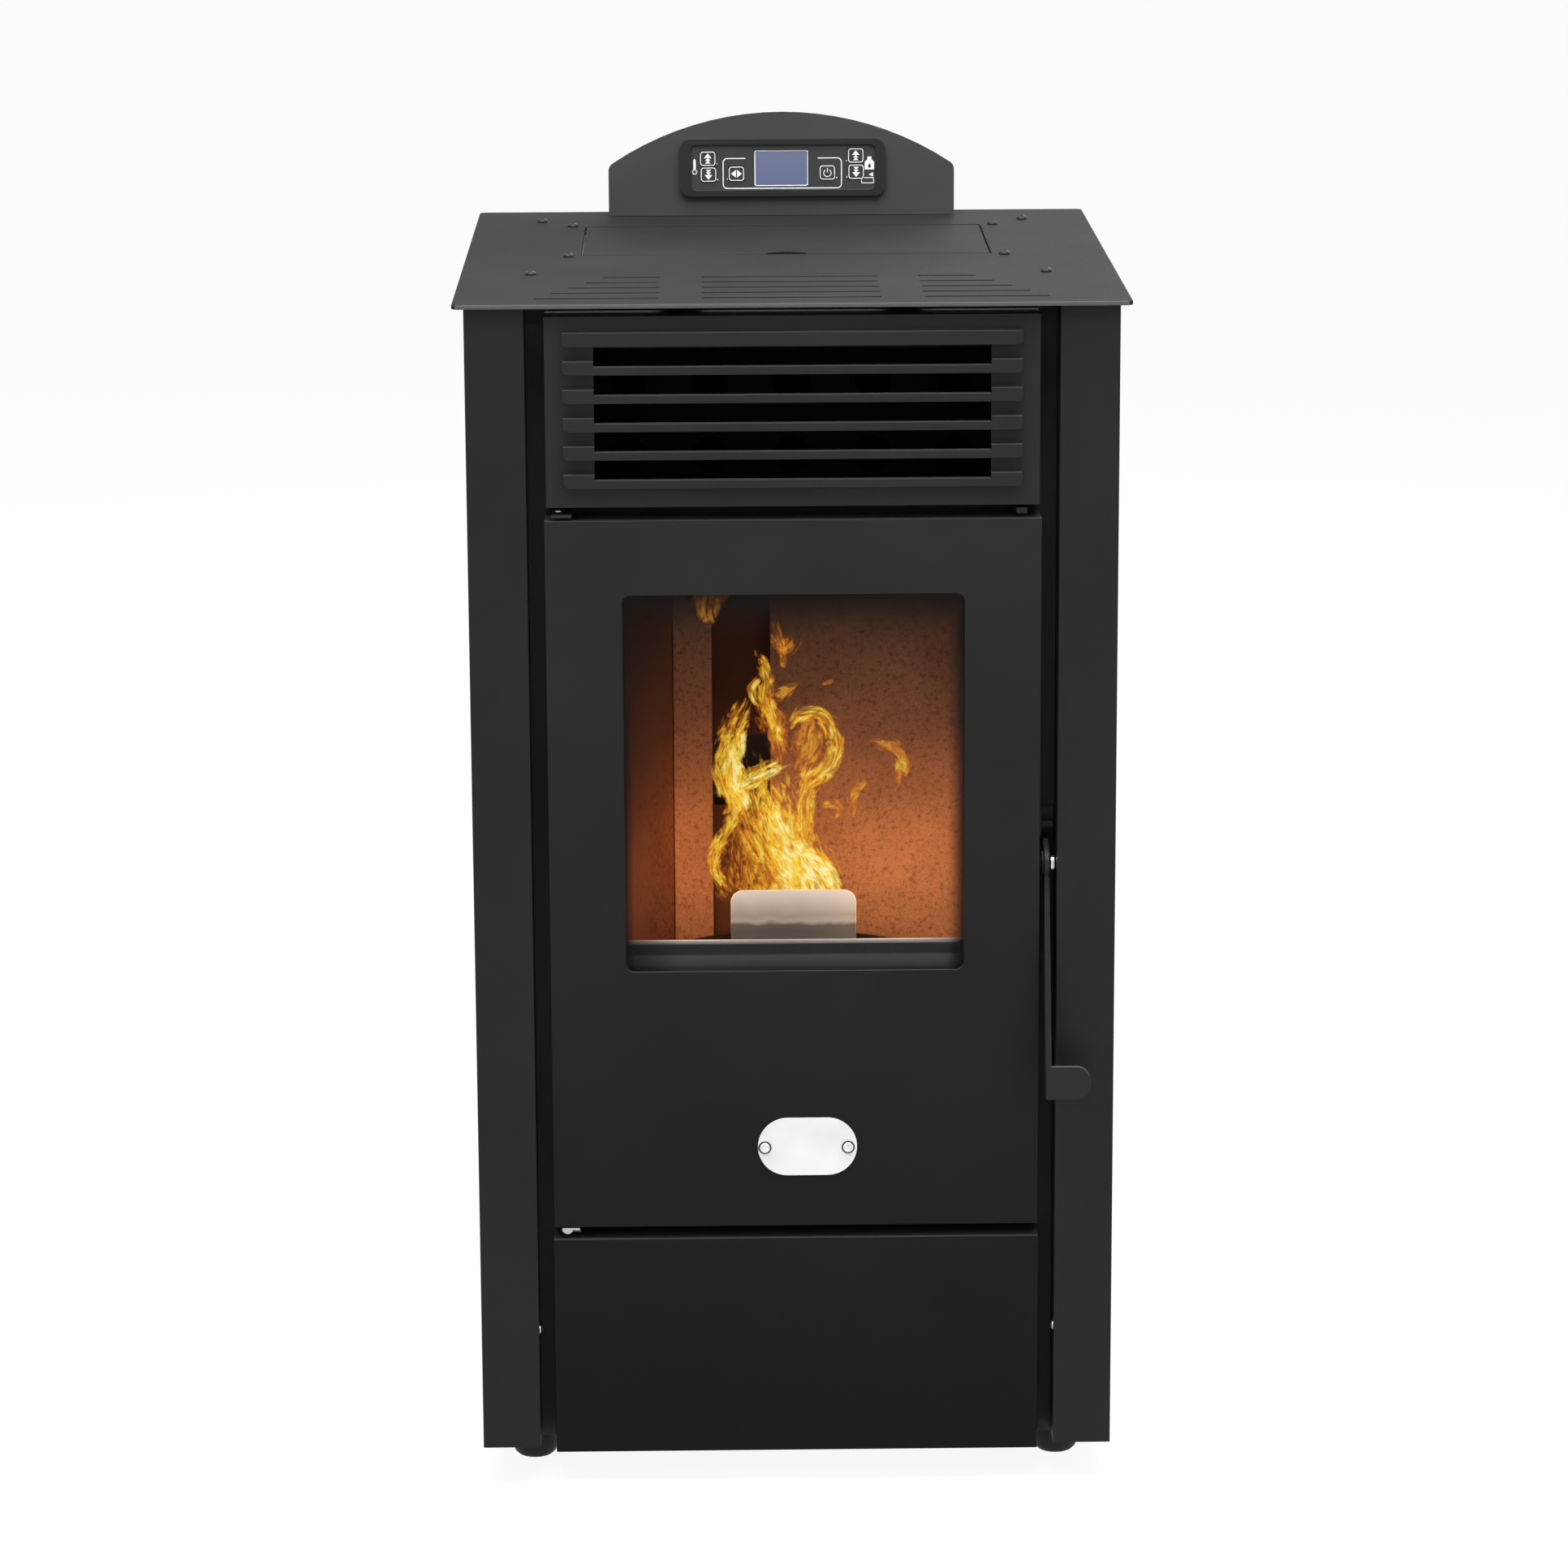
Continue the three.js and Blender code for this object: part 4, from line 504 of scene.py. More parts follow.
# How wide each finish rounds its edges, in mm, and the finishes that need a rounder edge.
BEVEL = {
    "casing": 0.7, "lever": 0.9, "door": 1.0, "panel": 1.0, "grille": 0.9, "top": 0.7, "console": 1.1,
    "frame": 0.5, "ledge": 1.0, "inner": 0.3, "steel": 0.35, "pivot": 2.6, "shield": 0.4, "cast": 0.8,
    "board": 0.8, "glass": 0.4, "rope": 2.2, "rubber": 1.0, "bezel": 1.3, "plastic": 0.6, "key": 0.35,
    "display": 0.15, "badge": 0.3, "circuit": 0.2,
}
ROUNDER = ("pivot", "bezel")
# Corners nearer than MERGED mm become one, and faces within FLAT degrees become one. Edges over BEVELLED
# degrees are rounded, and edges over SHARP degrees stay sharp in the shading.
MERGED, FLAT, BEVELLED, SHARP = 0.01, 0.6, 38, 32


def smooth_group():
    """Smooth shading that keeps the sharp edges."""
    group = bpy.data.node_groups.new("smooth_by_angle", "GeometryNodeTree")
    group.interface.new_socket("Geometry", in_out="INPUT", socket_type="NodeSocketGeometry")
    group.interface.new_socket("Geometry", in_out="OUTPUT", socket_type="NodeSocketGeometry")
    start, end = group.nodes.new("NodeGroupInput"), group.nodes.new("NodeGroupOutput")
    angle = group.nodes.new("GeometryNodeInputMeshEdgeAngle")
    sharp = group.nodes.new("FunctionNodeCompare")
    sharp.operation = "GREATER_THAN"
    sharp.inputs["B"].default_value = math.radians(SHARP)
    faces = group.nodes.new("GeometryNodeSetShadeSmooth")
    edges = group.nodes.new("GeometryNodeSetShadeSmooth")
    faces.domain, edges.domain = "FACE", "EDGE"
    edges.inputs["Shade Smooth"].default_value = False
    group.links.new(start.outputs[0], faces.inputs["Geometry"])
    group.links.new(faces.outputs[0], edges.inputs["Geometry"])
    group.links.new(angle.outputs["Unsigned Angle"], sharp.inputs["A"])
    group.links.new(sharp.outputs["Result"], edges.inputs["Selection"])
    group.links.new(edges.outputs[0], end.inputs[0])
    return group


def dress(obj, group, width, segments):
    """Merges the facets, rounds the edges by width in mm and shades them smooth."""
    weld = obj.modifiers.new("weld", "WELD")
    weld.merge_threshold = MERGED / 1000
    flat = obj.modifiers.new("dissolve", "DECIMATE")
    flat.decimate_type = "DISSOLVE"
    flat.angle_limit = math.radians(FLAT)
    bevel = obj.modifiers.new("bevel", "BEVEL")
    bevel.width = width / 1000
    bevel.segments = segments
    bevel.limit_method = "ANGLE"
    bevel.angle_limit = math.radians(BEVELLED)
    bevel.use_clamp_overlap = True
    shade = obj.modifiers.new("smooth", "NODES")
    shade.node_group = group
    weighted = obj.modifiers.new("weighted", "WEIGHTED_NORMAL")
    weighted.keep_sharp = True


def dress_nodes(materials, group):
    for finish, names in FINISH.items():
        for name in names:
            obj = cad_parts[name]
            obj.data.materials.clear()
            obj.data.materials.append(materials[finish])
            for face in obj.data.polygons:
                face.material_index = 0
            dress(obj, group, BEVEL[finish], 4 if finish in ROUNDER else 2)


# ---- Small pieces -----------------------------------------------------------------------
STEPS = 24  # flats round a turned piece
BARE = 0.02  # mm between a piece's foot and the surface that it stands on
TIP = 0.05  # mm radius of a closed tip


def add_mesh(name, vertices, faces, material, body, smooth=True):
    mesh = bpy.data.meshes.new(name)
    mesh.from_pydata(vertices, [], faces)
    mesh.validate()
    mesh.materials.append(material)
    if smooth:
        for face in mesh.polygons:
            face.use_smooth = True
    obj = bpy.data.objects.new(name, mesh)
    bpy.context.scene.collection.objects.link(obj)
    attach(obj, body)
    return obj


def lathe(name, profile, centre, axis, material, body):
    """A turned piece: profile lists (radius, height) in mm along axis from centre."""
    turn = Vector((0, 0, 1)).rotation_difference(Vector(axis)).to_matrix()
    vertices, faces = [], []
    for radius, height in profile:
        for k in range(STEPS):
            a = 2 * math.pi * k / STEPS
            local = Vector((radius * math.cos(a), radius * math.sin(a), height)) / 1000
            vertices.append(centre + turn @ local)
    for i in range(len(profile) - 1):
        for k in range(STEPS):
            n = (k + 1) % STEPS
            faces.append((i * STEPS + k, i * STEPS + n, (i + 1) * STEPS + n, (i + 1) * STEPS + k))
    faces.append(tuple(reversed(range(STEPS))))
    faces.append(tuple((len(profile) - 1) * STEPS + k for k in range(STEPS)))
    return add_mesh(name, vertices, faces, material, body)


def domed_screw(name, centre, axis, radius, height, material, body, socket=0.5):
    """A domed head with a round socket sunk in its crown by a share of its height."""
    dome = [(radius, BARE), (radius, height * 0.2)]
    for k in range(1, 6):
        a = k * math.pi / 12
        dome.append((radius * math.cos(a), height * (0.2 + 0.8 * math.sin(a))))
    hole, floor = radius * 0.36, height * (1 - socket)
    dome += [(hole, height * 0.99), (hole * 0.94, floor), (TIP, floor)]
    return lathe(name, dome, centre, axis, material, body)


def filled(points, y, depth, base):
    """Vertices, numbered from base, and faces of a plate with the outline points."""
    count = len(points)
    vertices = [at(p.x, y - d, p.y) for d in (0, depth) for p in points]
    faces = [tuple(range(base, base + count)), tuple(reversed(range(base + count, base + 2 * count)))]
    faces += [(base + k, base + count + k, base + count + (k + 1) % count, base + (k + 1) % count)
              for k in range(count)]
    return vertices, faces


def stroked(points, closed, y, depth, width, base):
    """Vertices, numbered from base, and faces of a raised line along points."""
    count = len(points)
    vertices, faces = [], []
    for k, p in enumerate(points):
        before = points[k - 1] if (k or closed) else p
        after = points[(k + 1) % count] if (k < count - 1 or closed) else p
        along_a = (p - before).normalized() if (p - before).length else (after - p).normalized()
        along_b = (after - p).normalized() if (after - p).length else along_a
        along = (along_a + along_b).normalized()
        across = Vector((-along.y, along.x)) * (width / 2 / max(0.4, along.dot(along_b)))
        vertices += [at(q.x, y - d, q.y) for q in (p + across, p - across) for d in (0, depth)]
    for k in range(count if closed else count - 1):
        i, j = base + 4 * k, base + 4 * ((k + 1) % count)
        faces += [(i + 1, j + 1, j + 3, i + 3), (i, i + 2, j + 2, j), (i, j, j + 1, i + 1),
                  (i + 2, i + 3, j + 3, j + 2)]
    if not closed:
        last = base + 4 * (count - 1)
        faces += [(base, base + 1, base + 3, base + 2), (last, last + 2, last + 3, last + 1)]
    return vertices, faces


def strip(name, lines, y, depth, material, body, width=0.55):
    """Raised shapes on the plane y, facing the front: each is a list of (x, z) points in mm, and "solid" for
    a filled outline, or "loop" or "open" for a line."""
    vertices, faces = [], []
    for line, kind in lines:
        points = [Vector(p) for p in line]
        if kind == "solid":
            more = filled(points, y, depth, len(vertices))
        else:
            more = stroked(points, kind == "loop", y, depth, width, len(vertices))
        vertices += more[0]
        faces += more[1]
    return add_mesh(name, vertices, faces, material, body, smooth=False)


def solid(points):
    return points, "solid"


def ring(x, z, half_x, half_z, radius, steps=4):
    """The points of a rectangle with round corners."""
    points = []
    for side, rise, start in ((1, 1, 0), (-1, 1, 90), (-1, -1, 180), (1, -1, 270)):
        corner_x, corner_z = x + side * (half_x - radius), z + rise * (half_z - radius)
        points += circle(corner_x, corner_z, radius, start, start + 90, steps)
    return points


def circle(x, z, radius, start, end, steps=16):
    """The points of an arc between two angles in degrees."""
    turns = [math.radians(start + (end - start) * k / steps) for k in range(steps + 1)]
    return [(x + radius * math.cos(a), z + radius * math.sin(a)) for a in turns]


# ---- Console symbols ----------------------------------------------------------------------
# The middle of each key: x, and the height above the plate. The arrow keys point up or down.
KEYS = [(-55.7, 43.7), (-55.2, 31.7), (-34, 32.2), (34.9, 32.7), (56.4, 45.5), (56.7, 33.2)]
ARROW_KEYS = {1: 1, 2: -1, 5: 1, 6: -1}
STEP_KEY = 3
PRINT = 0.12
FRAME_LINE = 0.7
# The line round the middle of the keypad, open at the top between its two ends.
FRAME = {"left": -44.1, "right": 45.6, "low": PLATE_TOP + 21, "high": PLATE_TOP + 43.7, "bend": 3.2,
         "ends": (-27.1, 27.7)}


def above(points):
    """Points given as x and the height above the plate."""
    return [(x, PLATE_TOP + height) for x, height in points]


def arrows(x, z, d):
    """Three stacked arrow heads that point up where d is 1 and down where it is -1."""
    head = solid([(x - 2.9, z + d * 0.4), (x + 2.9, z + d * 0.4), (x, z + d * 3.9)])
    return [head] + [solid([(x - 2.0, z - d * a), (x + 2.0, z - d * a), (x, z - d * (a - 2.1))])
                     for a in (1.6, 3.6)]


def key_symbol(n, x, z):
    """The frame and the symbol of key n: arrows, a pair of triangles, or the sign for on and off."""
    outline = [(ring(x, z, 5.45, 5.0, 1.8), "loop")]
    if n in ARROW_KEYS:
        return outline + arrows(x, z, ARROW_KEYS[n])
    if n == STEP_KEY:
        return outline + [solid([(x + d * 0.4, z + d * 3.0), (x + d * 0.4, z - d * 3.0), (x + d * 4.1, z)])
                          for d in (-1, 1)]
    return outline + [(circle(x, z - 0.3, 2.8, 125, 415), "open"), ([(x, z + 0.1), (x, z + 3.4)], "open")]


def frame_line():
    left, right, low, high, bend = (FRAME[k] for k in ("left", "right", "low", "high", "bend"))
    points = [(FRAME["ends"][0], high)] + circle(left + bend, high - bend, bend, 90, 180, 5)
    points += circle(left + bend, low + bend, bend, 180, 270, 5)
    points += circle(right - bend, low + bend, bend, 270, 360, 5)
    return points + circle(right - bend, high - bend, bend, 0, 90, 5) + [(FRAME["ends"][1], high)]


def keypad_icons():
    """A thermometer, a house, a remote control with its beam, and a dot beside each key."""
    icons = [
        solid(above([(-66.6, 35), (-64.8, 35), (-64.8, 42.6), (-65.7, 43.6), (-66.6, 42.6)])),
        (circle(-65.7, PLATE_TOP + 33.6, 1.6, 60, -240, 12), "open"),
        solid(above([(63.2, 34.8), (70.4, 34.8), (70.4, 40.6), (68.3, 42.4), (68.3, 44.6), (65.3, 44.6),
                     (65.3, 42.4), (63.2, 40.6)])),
        (ring(65.4, PLATE_TOP + 26.6, 4.6, 2.0, 0.7, 2), "loop"),
        solid(above([(66.2, 31), (69.6, 32.6), (69.6, 29.4)])),
    ]
    for (x, height), side in zip(KEYS, (1, 1, -1, 1, -1, -1)):
        left, right = x + side * 7 - 0.3, x + side * 7 + 0.3
        low, high = height - 4.5, height - 3.5
        icons.append(solid(above([(left, low), (right, low), (right, high), (left, high)])))
    return icons


def make_symbols(materials):
    white, slot = materials["print"], "black_plastic"
    for n, (x, height) in enumerate(KEYS, 1):
        strip("key_%d_symbol" % n, key_symbol(n, x, PLATE_TOP + height), start_of("key_1", "y"), PRINT, white,
              "key_%d" % n)
    border = ring(0, PLATE_TOP + 36.15, 20.0, 13.2, 1.5)
    strip("display_border", [(border, "loop")], start_of("display_panel", "y"), PRINT, white, "root",
          FRAME_LINE)
    strip("keypad_frame_line", [(frame_line(), "open")], RECESS_Y, PRINT, white, "root", FRAME_LINE)
    strip("keypad_icons", keypad_icons(), RECESS_Y, PRINT, white, "root")
    fire = solid(above([(66, 36.2), (67.6, 36.2), (67.9, 37.6), (66.8, 39.8), (65.7, 37.6)]))
    strip("keypad_icon_flame", [fire], RECESS_Y - PRINT, 0.1, materials["plastic"], "root")


# ---- Screws, rivets and other fasteners -------------------------------------------------------
TOP_SCREWS = [(180.7, 444), (157, 415), (156.5, 245.5), (180.7, 151)]
REAR_SCREW_HEIGHTS = (70, 250, 430, 610, 800)
REAR_SCREW_INSET = 8
RECESS_SCREW = {"y": 13, "z": 114.5}
RIVETS = {"left": -21.6, "right": 36.7}
RIVET_HEIGHT = 249
# A flat dark disc under each rivet head: a painted shadow.
RIVET_SHADOW = [(4.6, BARE), (4.6, 0.25), (TIP, 0.3)]
RIVET_HEAD = [(3.7, 0.32), (3.8, 0.7), (3.5, 1.2), (2.9, 1.6), (1.7, 1.9), (TIP, 2.0)]
HINGE_PIN = [(2.7, BARE), (2.7, 0.9), (2.0, 1.5), (TIP, 1.6)]
LEVER_BOSS = [(8.2, BARE), (8.2, 1.1), (7.5, 1.6), (TIP, 1.7)]
UP, FRONT, REAR, LEFT = (0, 0, 1), (0, -1, 0), (0, 1, 0), (-1, 0, 0)


def make_top_screws(material):
    for n, (x, y) in enumerate(TOP_SCREWS, 1):
        for word, side in SIDES.items():
            domed_screw("top_screw_%s_%d" % (word, n), at(side * x, y, PLATE_TOP), UP, 4.0, 2.9, material,
                        "root", 0.3)


def make_recess_screws(material):
    inner = start_of("side_panel_right", "x")
    for word, side in SIDES.items():
        place = at(side * inner, RECESS_SCREW["y"], RECESS_SCREW["z"])
        domed_screw("recess_screw_" + word, place, (-side, 0, 0), 3.5, 2.0, material, "root")


def make_rear_screws(material):
    rear = end_of("rear_panel", "y")
    aside = end_of("rear_panel", "x") - REAR_SCREW_INSET
    for word, side in SIDES.items():
        for n, z in enumerate(REAR_SCREW_HEIGHTS, 1):
            domed_screw("rear_screw_%s_%d" % (word, n), at(side * aside, rear, z), REAR, 3.6, 1.9, material,
                        "root")


def make_rivets(materials):
    front = start_of("badge_plate", "y")
    for word, x in RIVETS.items():
        place = at(x, front, RIVET_HEIGHT)
        # Painted shadow under the rivet head.
        lathe("badge_rivet_shadow_" + word, RIVET_SHADOW, place, FRONT, materials["rim"], "door")
        lathe("badge_rivet_" + word, RIVET_HEAD, place, FRONT, materials["bright"], "door")


def make_hinge_and_lever_ends(materials):
    """What shows in the gaps round the door: the hinges' ends and a clip, and the boss behind the lever."""
    lathe("hinge_pin_upper", HINGE_PIN, at(-160, 14.5, end_of("hinge_upper", "z")), UP, materials["clip"],
          "root")
    low = start_of("hinge_lower", "z")
    rounded = [(-164.2, low + 4.6), *circle(-160.4, low + 4.1, 3.8, 180, 360, 10), (-156.6, low + 3.2),
               (-152.2, low + 2.9), (-151.8, low + 4.6)]
    strip("hinge_end_lower", [solid(rounded)], start_of("hinge_lower", "y"), 0.5, materials["steel"], "root")
    back, front = start_of("front_frame", "y"), 12
    clip = [(152.5, 697.3), (159.7, 697.3), (159.7, 701.2), (152.5, 701.2)]
    strip("grille_clip_right", [solid(clip)], back, back - front, materials["frame"], "root")
    pin_low, pin_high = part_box("handle_pivot")
    middle = (pin_low + pin_high) / 2
    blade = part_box("handle_lever")[0].x
    lathe("lever_boss", LEVER_BOSS, Vector((blade, middle.y, middle.z)), LEFT, materials["lever"], "handle")


# ---- Fire --------------------------------------------------------------------------------------
FLAME_ROWS, FLAME_COLUMNS = 40, 8
FLAME_BOW = 6  # mm that the middle of a sheet stands forward
FLAMES = [  # name, y, material, path of (x, z, half width)
    ("bulge", 122, "veil", [(-14, 396, 36), (-18, 412, 46), (-22, 430, 42), (-26, 450, 30), (-28, 472, 18),
                            (-30, 490, 6)]),
    ("skirt", 118, "flame", [(6, 396, 38), (2, 414, 40), (-6, 432, 34), (-14, 452, 32), (-20, 476, 30),
                             (-24, 500, 18), (-26, 520, 4)]),
    ("heart", 112, "core", [(18, 396, 20), (14, 412, 26), (4, 430, 24), (-6, 450, 18), (-12, 470, 14),
                            (-20, 490, 10), (-26, 506, 3)]),
    ("rope", 108, "core", [(34, 404, 5), (24, 424, 8), (6, 440, 9), (-8, 456, 9), (-18, 476, 8),
                           (-32, 492, 9), (-40, 504, 4)]),
    ("edge", 110, "flame", [(-44, 408, 3), (-55, 424, 6), (-54, 440, 7), (-44, 458, 8), (-40, 478, 10),
                            (-44, 496, 12), (-44, 512, 10), (-38, 530, 4)]),
    ("left", 106, "flame", [(-34, 462, 8), (-40, 482, 14), (-46, 500, 14), (-44, 520, 13), (-36, 538, 12),
                            (-31, 552, 9), (-30, 566, 2)]),
    ("left_core", 104, "core", [(-32, 470, 4), (-38, 486, 8), (-40, 504, 8), (-37, 522, 8), (-32, 540, 6),
                                (-29, 556, 1)]),
    ("arm", 102, "core", [(-36, 488, 5), (-28, 492, 10), (-18, 498, 9), (-6, 503, 6), (4, 505, 2)]),
    ("shoulder", 114, "flame", [(8, 436, 12), (8, 456, 12), (8, 474, 12), (12, 488, 12), (20, 500, 12),
                                (22, 512, 9)]),
    ("swirl", 109, "flame", [(8, 484, 5), (20, 492, 8), (30, 506, 8), (30, 524, 9), (20, 537, 9), (6, 535, 8),
                             (-2, 524, 6), (0, 512, 2)]),
    ("swirl_veil", 113, "veil", [(4, 496, 10), (10, 508, 16), (14, 522, 18), (14, 534, 12), (12, 542, 3)]),
    ("throat", 111, "veil", [(-8, 500, 4), (-10, 516, 10), (-14, 534, 14), (-20, 552, 9), (-20, 566, 3)]),
    ("tongue", 107, "flame", [(-6, 512, 3), (-12, 532, 6), (-18, 550, 8), (-18, 566, 7), (-23, 580, 6),
                              (-29.5, 592, 2)]),
    ("branch", 105, "flame", [(-22, 566, 3), (-28, 558, 5), (-26, 548, 4), (-20, 540, 2)]),
    ("hook", 110, "wisp", [(-14, 545, 3), (-6, 552, 6), (2, 557, 5), (10, 558, 1)]),
    ("wisp_top", 142, "wisp", [(-12, 606, 2), (-11, 590, 6), (-5, 578, 9), (3, 586, 9), (11, 598, 2)]),
    ("wisp_stem", 141, "wisp", [(-8, 584, 6), (-6, 572, 5), (-4, 560, 2)]),
    ("wisp_high", 118, "wisp", [(-48, 632, 12), (-58, 620, 15), (-58, 604, 8), (-54, 592, 2)]),
    ("wisp_spill", 116, "wisp", [(-40, 640, 12), (-46, 628, 12), (-58, 616, 6)]),
    ("wisp_right", 112, "wisp", [(38, 444, 2), (42, 462, 5), (44, 478, 6), (52, 489, 6), (53, 496, 2)]),
    ("wisp_curl", 114, "wisp", [(70, 472, 3), (78, 490, 7), (77, 506, 9), (66, 514, 8), (56, 516, 5),
                                (50, 507, 2)]),
    ("wisp_low", 109, "wisp", [(14, 468, 3), (24, 472, 5), (33, 470, 6), (31, 462, 6), (22, 461, 3)]),
    ("spark", 112, "wisp", [(20, 558, 2), (26, 560, 3), (34, 564, 1.5)]),
]
# The fire rises with the pot, apart from the loose wisps under the baffle plate.
STAYING = ("wisp_high", "wisp_spill", "wisp_top", "wisp_stem")
PELLETS, PELLET_HALF, PELLET_RADIUS, PELLET_SIDES = 70, 5, 3, 8


def smooth_path(path, count):
    """count points on a smooth curve through path, a list of equal tuples."""
    points = []
    for i in range(count):
        t = i / (count - 1) * (len(path) - 1)
        k = min(int(t), len(path) - 2)
        f = t - k
        a, b, c, d = (path[min(max(n, 0), len(path) - 1)] for n in (k - 1, k, k + 1, k + 2))
        points.append([0.5 * (2 * q + (r - p) * f + (2 * p - 5 * q + 4 * r - v) * f * f
                              + (3 * q - p - 3 * r + v) * f ** 3) for p, q, r, v in zip(a, b, c, d)])
    return points


def fire_sheet(name, index, path, y, material, body):
    """An open sheet along path, a list of (x, z, half width) in mm, with the maps that its material reads.
    The maps of each index lie apart, so that no two sheets tear alike."""
    points = smooth_path(path, FLAME_ROWS + 1)
    vertices, faces, flow, span = [], [], [], []
    length = 0.0
    for i, (x, z, half) in enumerate(points):
        near, far = points[max(i - 1, 0)], points[min(i + 1, FLAME_ROWS)]
        length += math.dist((x, z), near[:2])
        run = Vector((far[0] - near[0], far[1] - near[1])).normalized()
        across = Vector((run.y, -run.x))
        for j in range(FLAME_COLUMNS + 1):
            u = j / FLAME_COLUMNS
            side = (2 * u - 1) * max(half, 0.2)
            forward = FLAME_BOW * math.sin(math.pi * u)
            vertices.append(at(x + across.x * side, y - forward, z + across.y * side))
            flow.append((u * 0.998 + 2 * index, i / FLAME_ROWS))
            span.append((side / 10 + 7 * index, length / 10))
    for i in range(FLAME_ROWS):
        for j in range(FLAME_COLUMNS):
            a = i * (FLAME_COLUMNS + 1) + j
            faces.append((a, a + 1, a + FLAME_COLUMNS + 2, a + FLAME_COLUMNS + 1))
    obj = add_mesh(name, vertices, faces, material, body)
    for layer, values in (("flow", flow), ("span", span)):
        target = obj.data.uv_layers.new(name=layer)
        for loop in obj.data.loops:
            target.data[loop.index].uv = values[loop.vertex_index]


def make_flames(materials):
    for index, (name, y, kind, path) in enumerate(FLAMES):
        body = "root" if name in STAYING else "pot"
        fire_sheet("flame_" + name, index, path, y, materials[kind], body)


def make_embers(material):
    """Pellets lying loosely on the floor of the pot, as one mesh."""
    rng = random.Random(4)
    vertices, faces = [], []
    sides = PELLET_SIDES
    for k in range(PELLETS):
        centre = at(rng.uniform(-30, 30), rng.uniform(80, 140), 325 + rng.uniform(0, 7) + 3 * (k % 2))
        turn = Matrix.Rotation(rng.uniform(0, 6.28), 3, "Z") @ Matrix.Rotation(rng.uniform(-0.3, 0.3), 3, "Y")
        base = len(vertices)
        for end in (-PELLET_HALF, PELLET_HALF):
            for j in range(sides):
                a = 2 * math.pi * j / sides
                local = Vector((end, PELLET_RADIUS * math.cos(a), PELLET_RADIUS * math.sin(a))) / 1000
                vertices.append(centre + turn @ local)
        for j in range(sides):
            n = (j + 1) % sides
            faces.append((base + j, base + n, base + sides + n, base + sides + j))
        faces += [tuple(reversed(range(base, base + sides))), tuple(range(base + sides, base + 2 * sides))]
    add_mesh("embers", vertices, faces, material, "pot", smooth=False)


# ---- Studio ----------------------------------------------------------------------------------
WORLD_LEVEL = 0.3
FLOOR_HALF = 60.0  # m
FLOOR_GLOW, FLOOR_GLOW_SHARE = 1.08, 0.85
FIRE_LAMPS = [  # name, place in mm, radius in m, power in W, colour
    ("fire_right", (60, 66, 404), 0.05, 0.5, (1.0, 0.66, 0.42)),
    ("fire_left", (-66, 70, 410), 0.05, 0.42, (1.0, 0.62, 0.38)),
    ("fire_high", (10, 56, 500), 0.06, 0.3, (1.0, 0.66, 0.44)),
]
STUDIO_LAMPS = [  # name, place and target in m, width and height in m, power in W
    ("overhead", (0, -0.7, 2.7), (0, 0, 0.6), 2.4, 1.6, 120),
    ("front_left", (-2.4, -2.8, 2.3), (0, 0, 0.45), 1.6, 2.0, 24),
    ("front_right", (2.6, -2.4, 2.1), (0, 0, 0.45), 1.4, 2.0, 17),
    ("behind", (1.3, 3.0, 2.0), (0, 0, 0.5), 2.4, 1.6, 34),
]


def plain_background(tree):
    """1 for the rays that see a plain white background and floor, and 0 for those that light the stove."""
    path = tree.nodes.new("ShaderNodeLightPath")
    either = tree.nodes.new("ShaderNodeMath")
    either.operation = "MAXIMUM"
    tree.links.new(path.outputs["Is Camera Ray"], either.inputs[0])
    tree.links.new(path.outputs["Is Glossy Ray"], either.inputs[1])
    last = tree.nodes.new("ShaderNodeMath")
    last.operation = "MAXIMUM"
    tree.links.new(either.outputs[0], last.inputs[0])
    tree.links.new(path.outputs["Is Transmission Ray"], last.inputs[1])
    return last.outputs[0]


def make_world():
    world = bpy.data.worlds.new("studio")
    bpy.context.scene.world = world
    world.use_nodes = True
    tree = world.node_tree
    lit = tree.nodes["Background"]
    lit.inputs["Color"].default_value = (*WHITE, 1)
    lit.inputs["Strength"].default_value = WORLD_LEVEL
    white = tree.nodes.new("ShaderNodeBackground")
    white.inputs["Color"].default_value = (*WHITE, 1)
    white.inputs["Strength"].default_value = 1.0
    mixed = tree.nodes.new("ShaderNodeMixShader")
    tree.links.new(plain_background(tree), mixed.inputs["Fac"])
    tree.links.new(lit.outputs[0], mixed.inputs[1])
    tree.links.new(white.outputs[0], mixed.inputs[2])
    tree.links.new(mixed.outputs[0], tree.nodes["World Output"].inputs["Surface"])


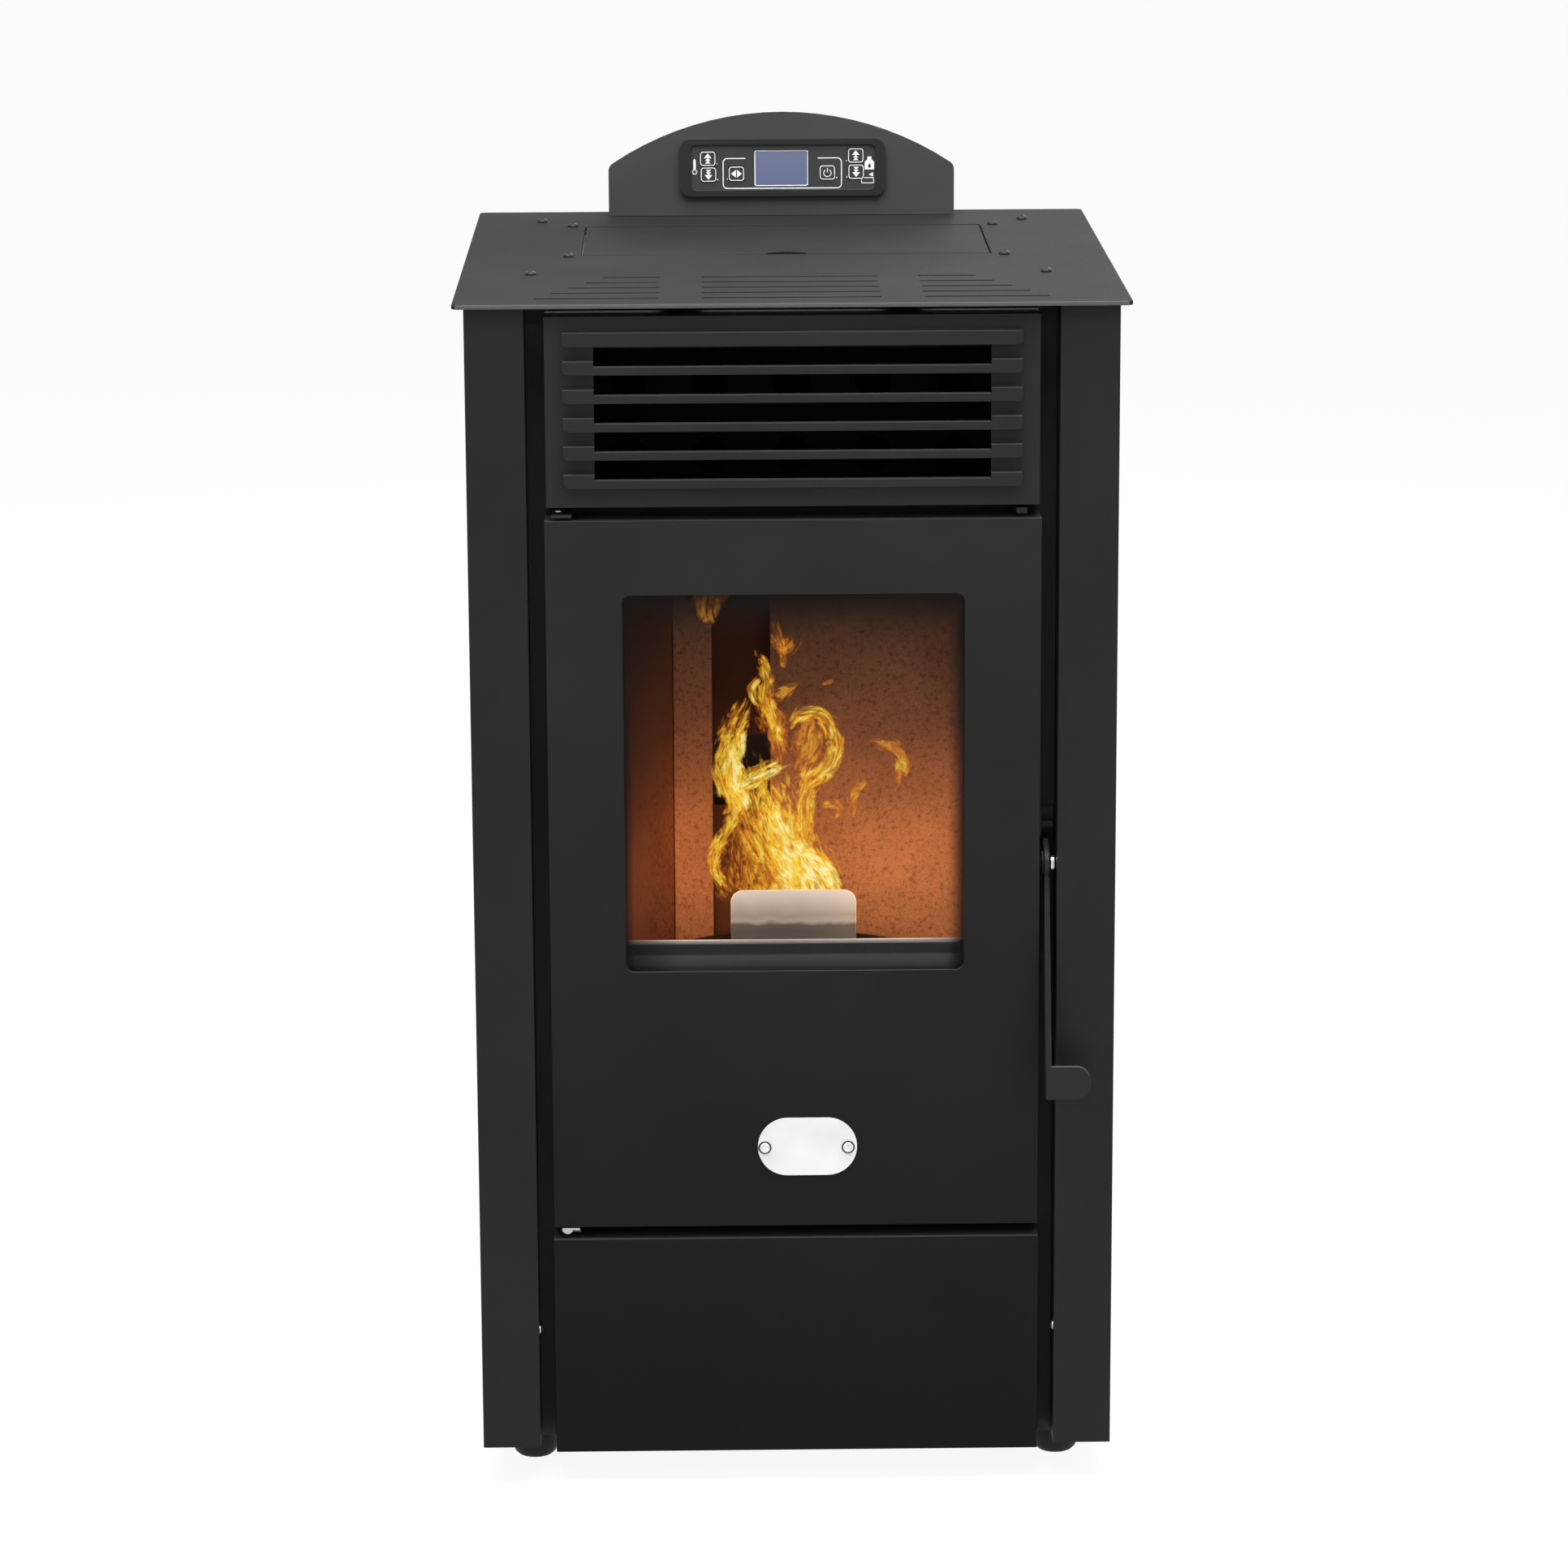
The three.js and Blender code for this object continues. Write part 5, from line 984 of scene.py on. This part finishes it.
def make_floor():
    """A pale floor that catches shadows and meets the white background without an edge."""
    mesh = bpy.data.meshes.new("floor")
    r = FLOOR_HALF
    mesh.from_pydata([(-r, -r, 0), (r, -r, 0), (r, r, 0), (-r, r, 0)], [], [(0, 1, 2, 3)])
    floor = bpy.data.objects.new("floor", mesh)
    bpy.context.scene.collection.objects.link(floor)
    material = bpy.data.materials.new("floor_white")
    material.use_nodes = True
    tree = material.node_tree
    tree.nodes.remove(tree.nodes["Principled BSDF"])
    soft = tree.nodes.new("ShaderNodeBsdfDiffuse")
    soft.inputs["Color"].default_value = (0.86, 0.86, 0.86, 1)
    glow = tree.nodes.new("ShaderNodeEmission")
    glow.inputs["Strength"].default_value = FLOOR_GLOW
    share = tree.nodes.new("ShaderNodeMath")
    share.operation = "MULTIPLY"
    share.inputs[1].default_value = FLOOR_GLOW_SHARE
    mixed = tree.nodes.new("ShaderNodeMixShader")
    tree.links.new(plain_background(tree), share.inputs[0])
    tree.links.new(share.outputs[0], mixed.inputs["Fac"])
    tree.links.new(soft.outputs[0], mixed.inputs[1])
    tree.links.new(glow.outputs[0], mixed.inputs[2])
    tree.links.new(mixed.outputs[0], tree.nodes["Material Output"].inputs["Surface"])
    mesh.materials.append(material)


def add_lamp(name, kind, place, power):
    data = bpy.data.lights.new(name, kind)
    data.energy = power
    lamp = bpy.data.objects.new(name, data)
    lamp.location = place
    bpy.context.scene.collection.objects.link(lamp)
    return lamp


def make_lights():
    for name, place, target, width, height, power in STUDIO_LAMPS:
        lamp = add_lamp(name, "AREA", place, power)
        lamp.data.shape = "RECTANGLE"
        lamp.data.size, lamp.data.size_y = width, height
        lamp.rotation_mode = "QUATERNION"
        lamp.rotation_quaternion = (Vector(target) - Vector(place)).to_track_quat("-Z", "Y")
    for name, place, radius, power, color in FIRE_LAMPS:
        lamp = add_lamp(name, "POINT", at(*place), power)
        lamp.data.shadow_soft_size = radius
        lamp.data.color = color


bpy.context.scene.view_settings.view_transform = "Standard"
make_camera()
materials = make_materials()
dress_nodes(materials, smooth_group())
make_symbols(materials)
make_top_screws(materials["dark_screw"])
make_rivets(materials)
make_recess_screws(materials["clip"])
make_hinge_and_lever_ends(materials)
make_rear_screws(materials["dark_screw"])
make_flames(materials)
make_embers(materials["ember"])
make_world()
make_floor()
make_lights()
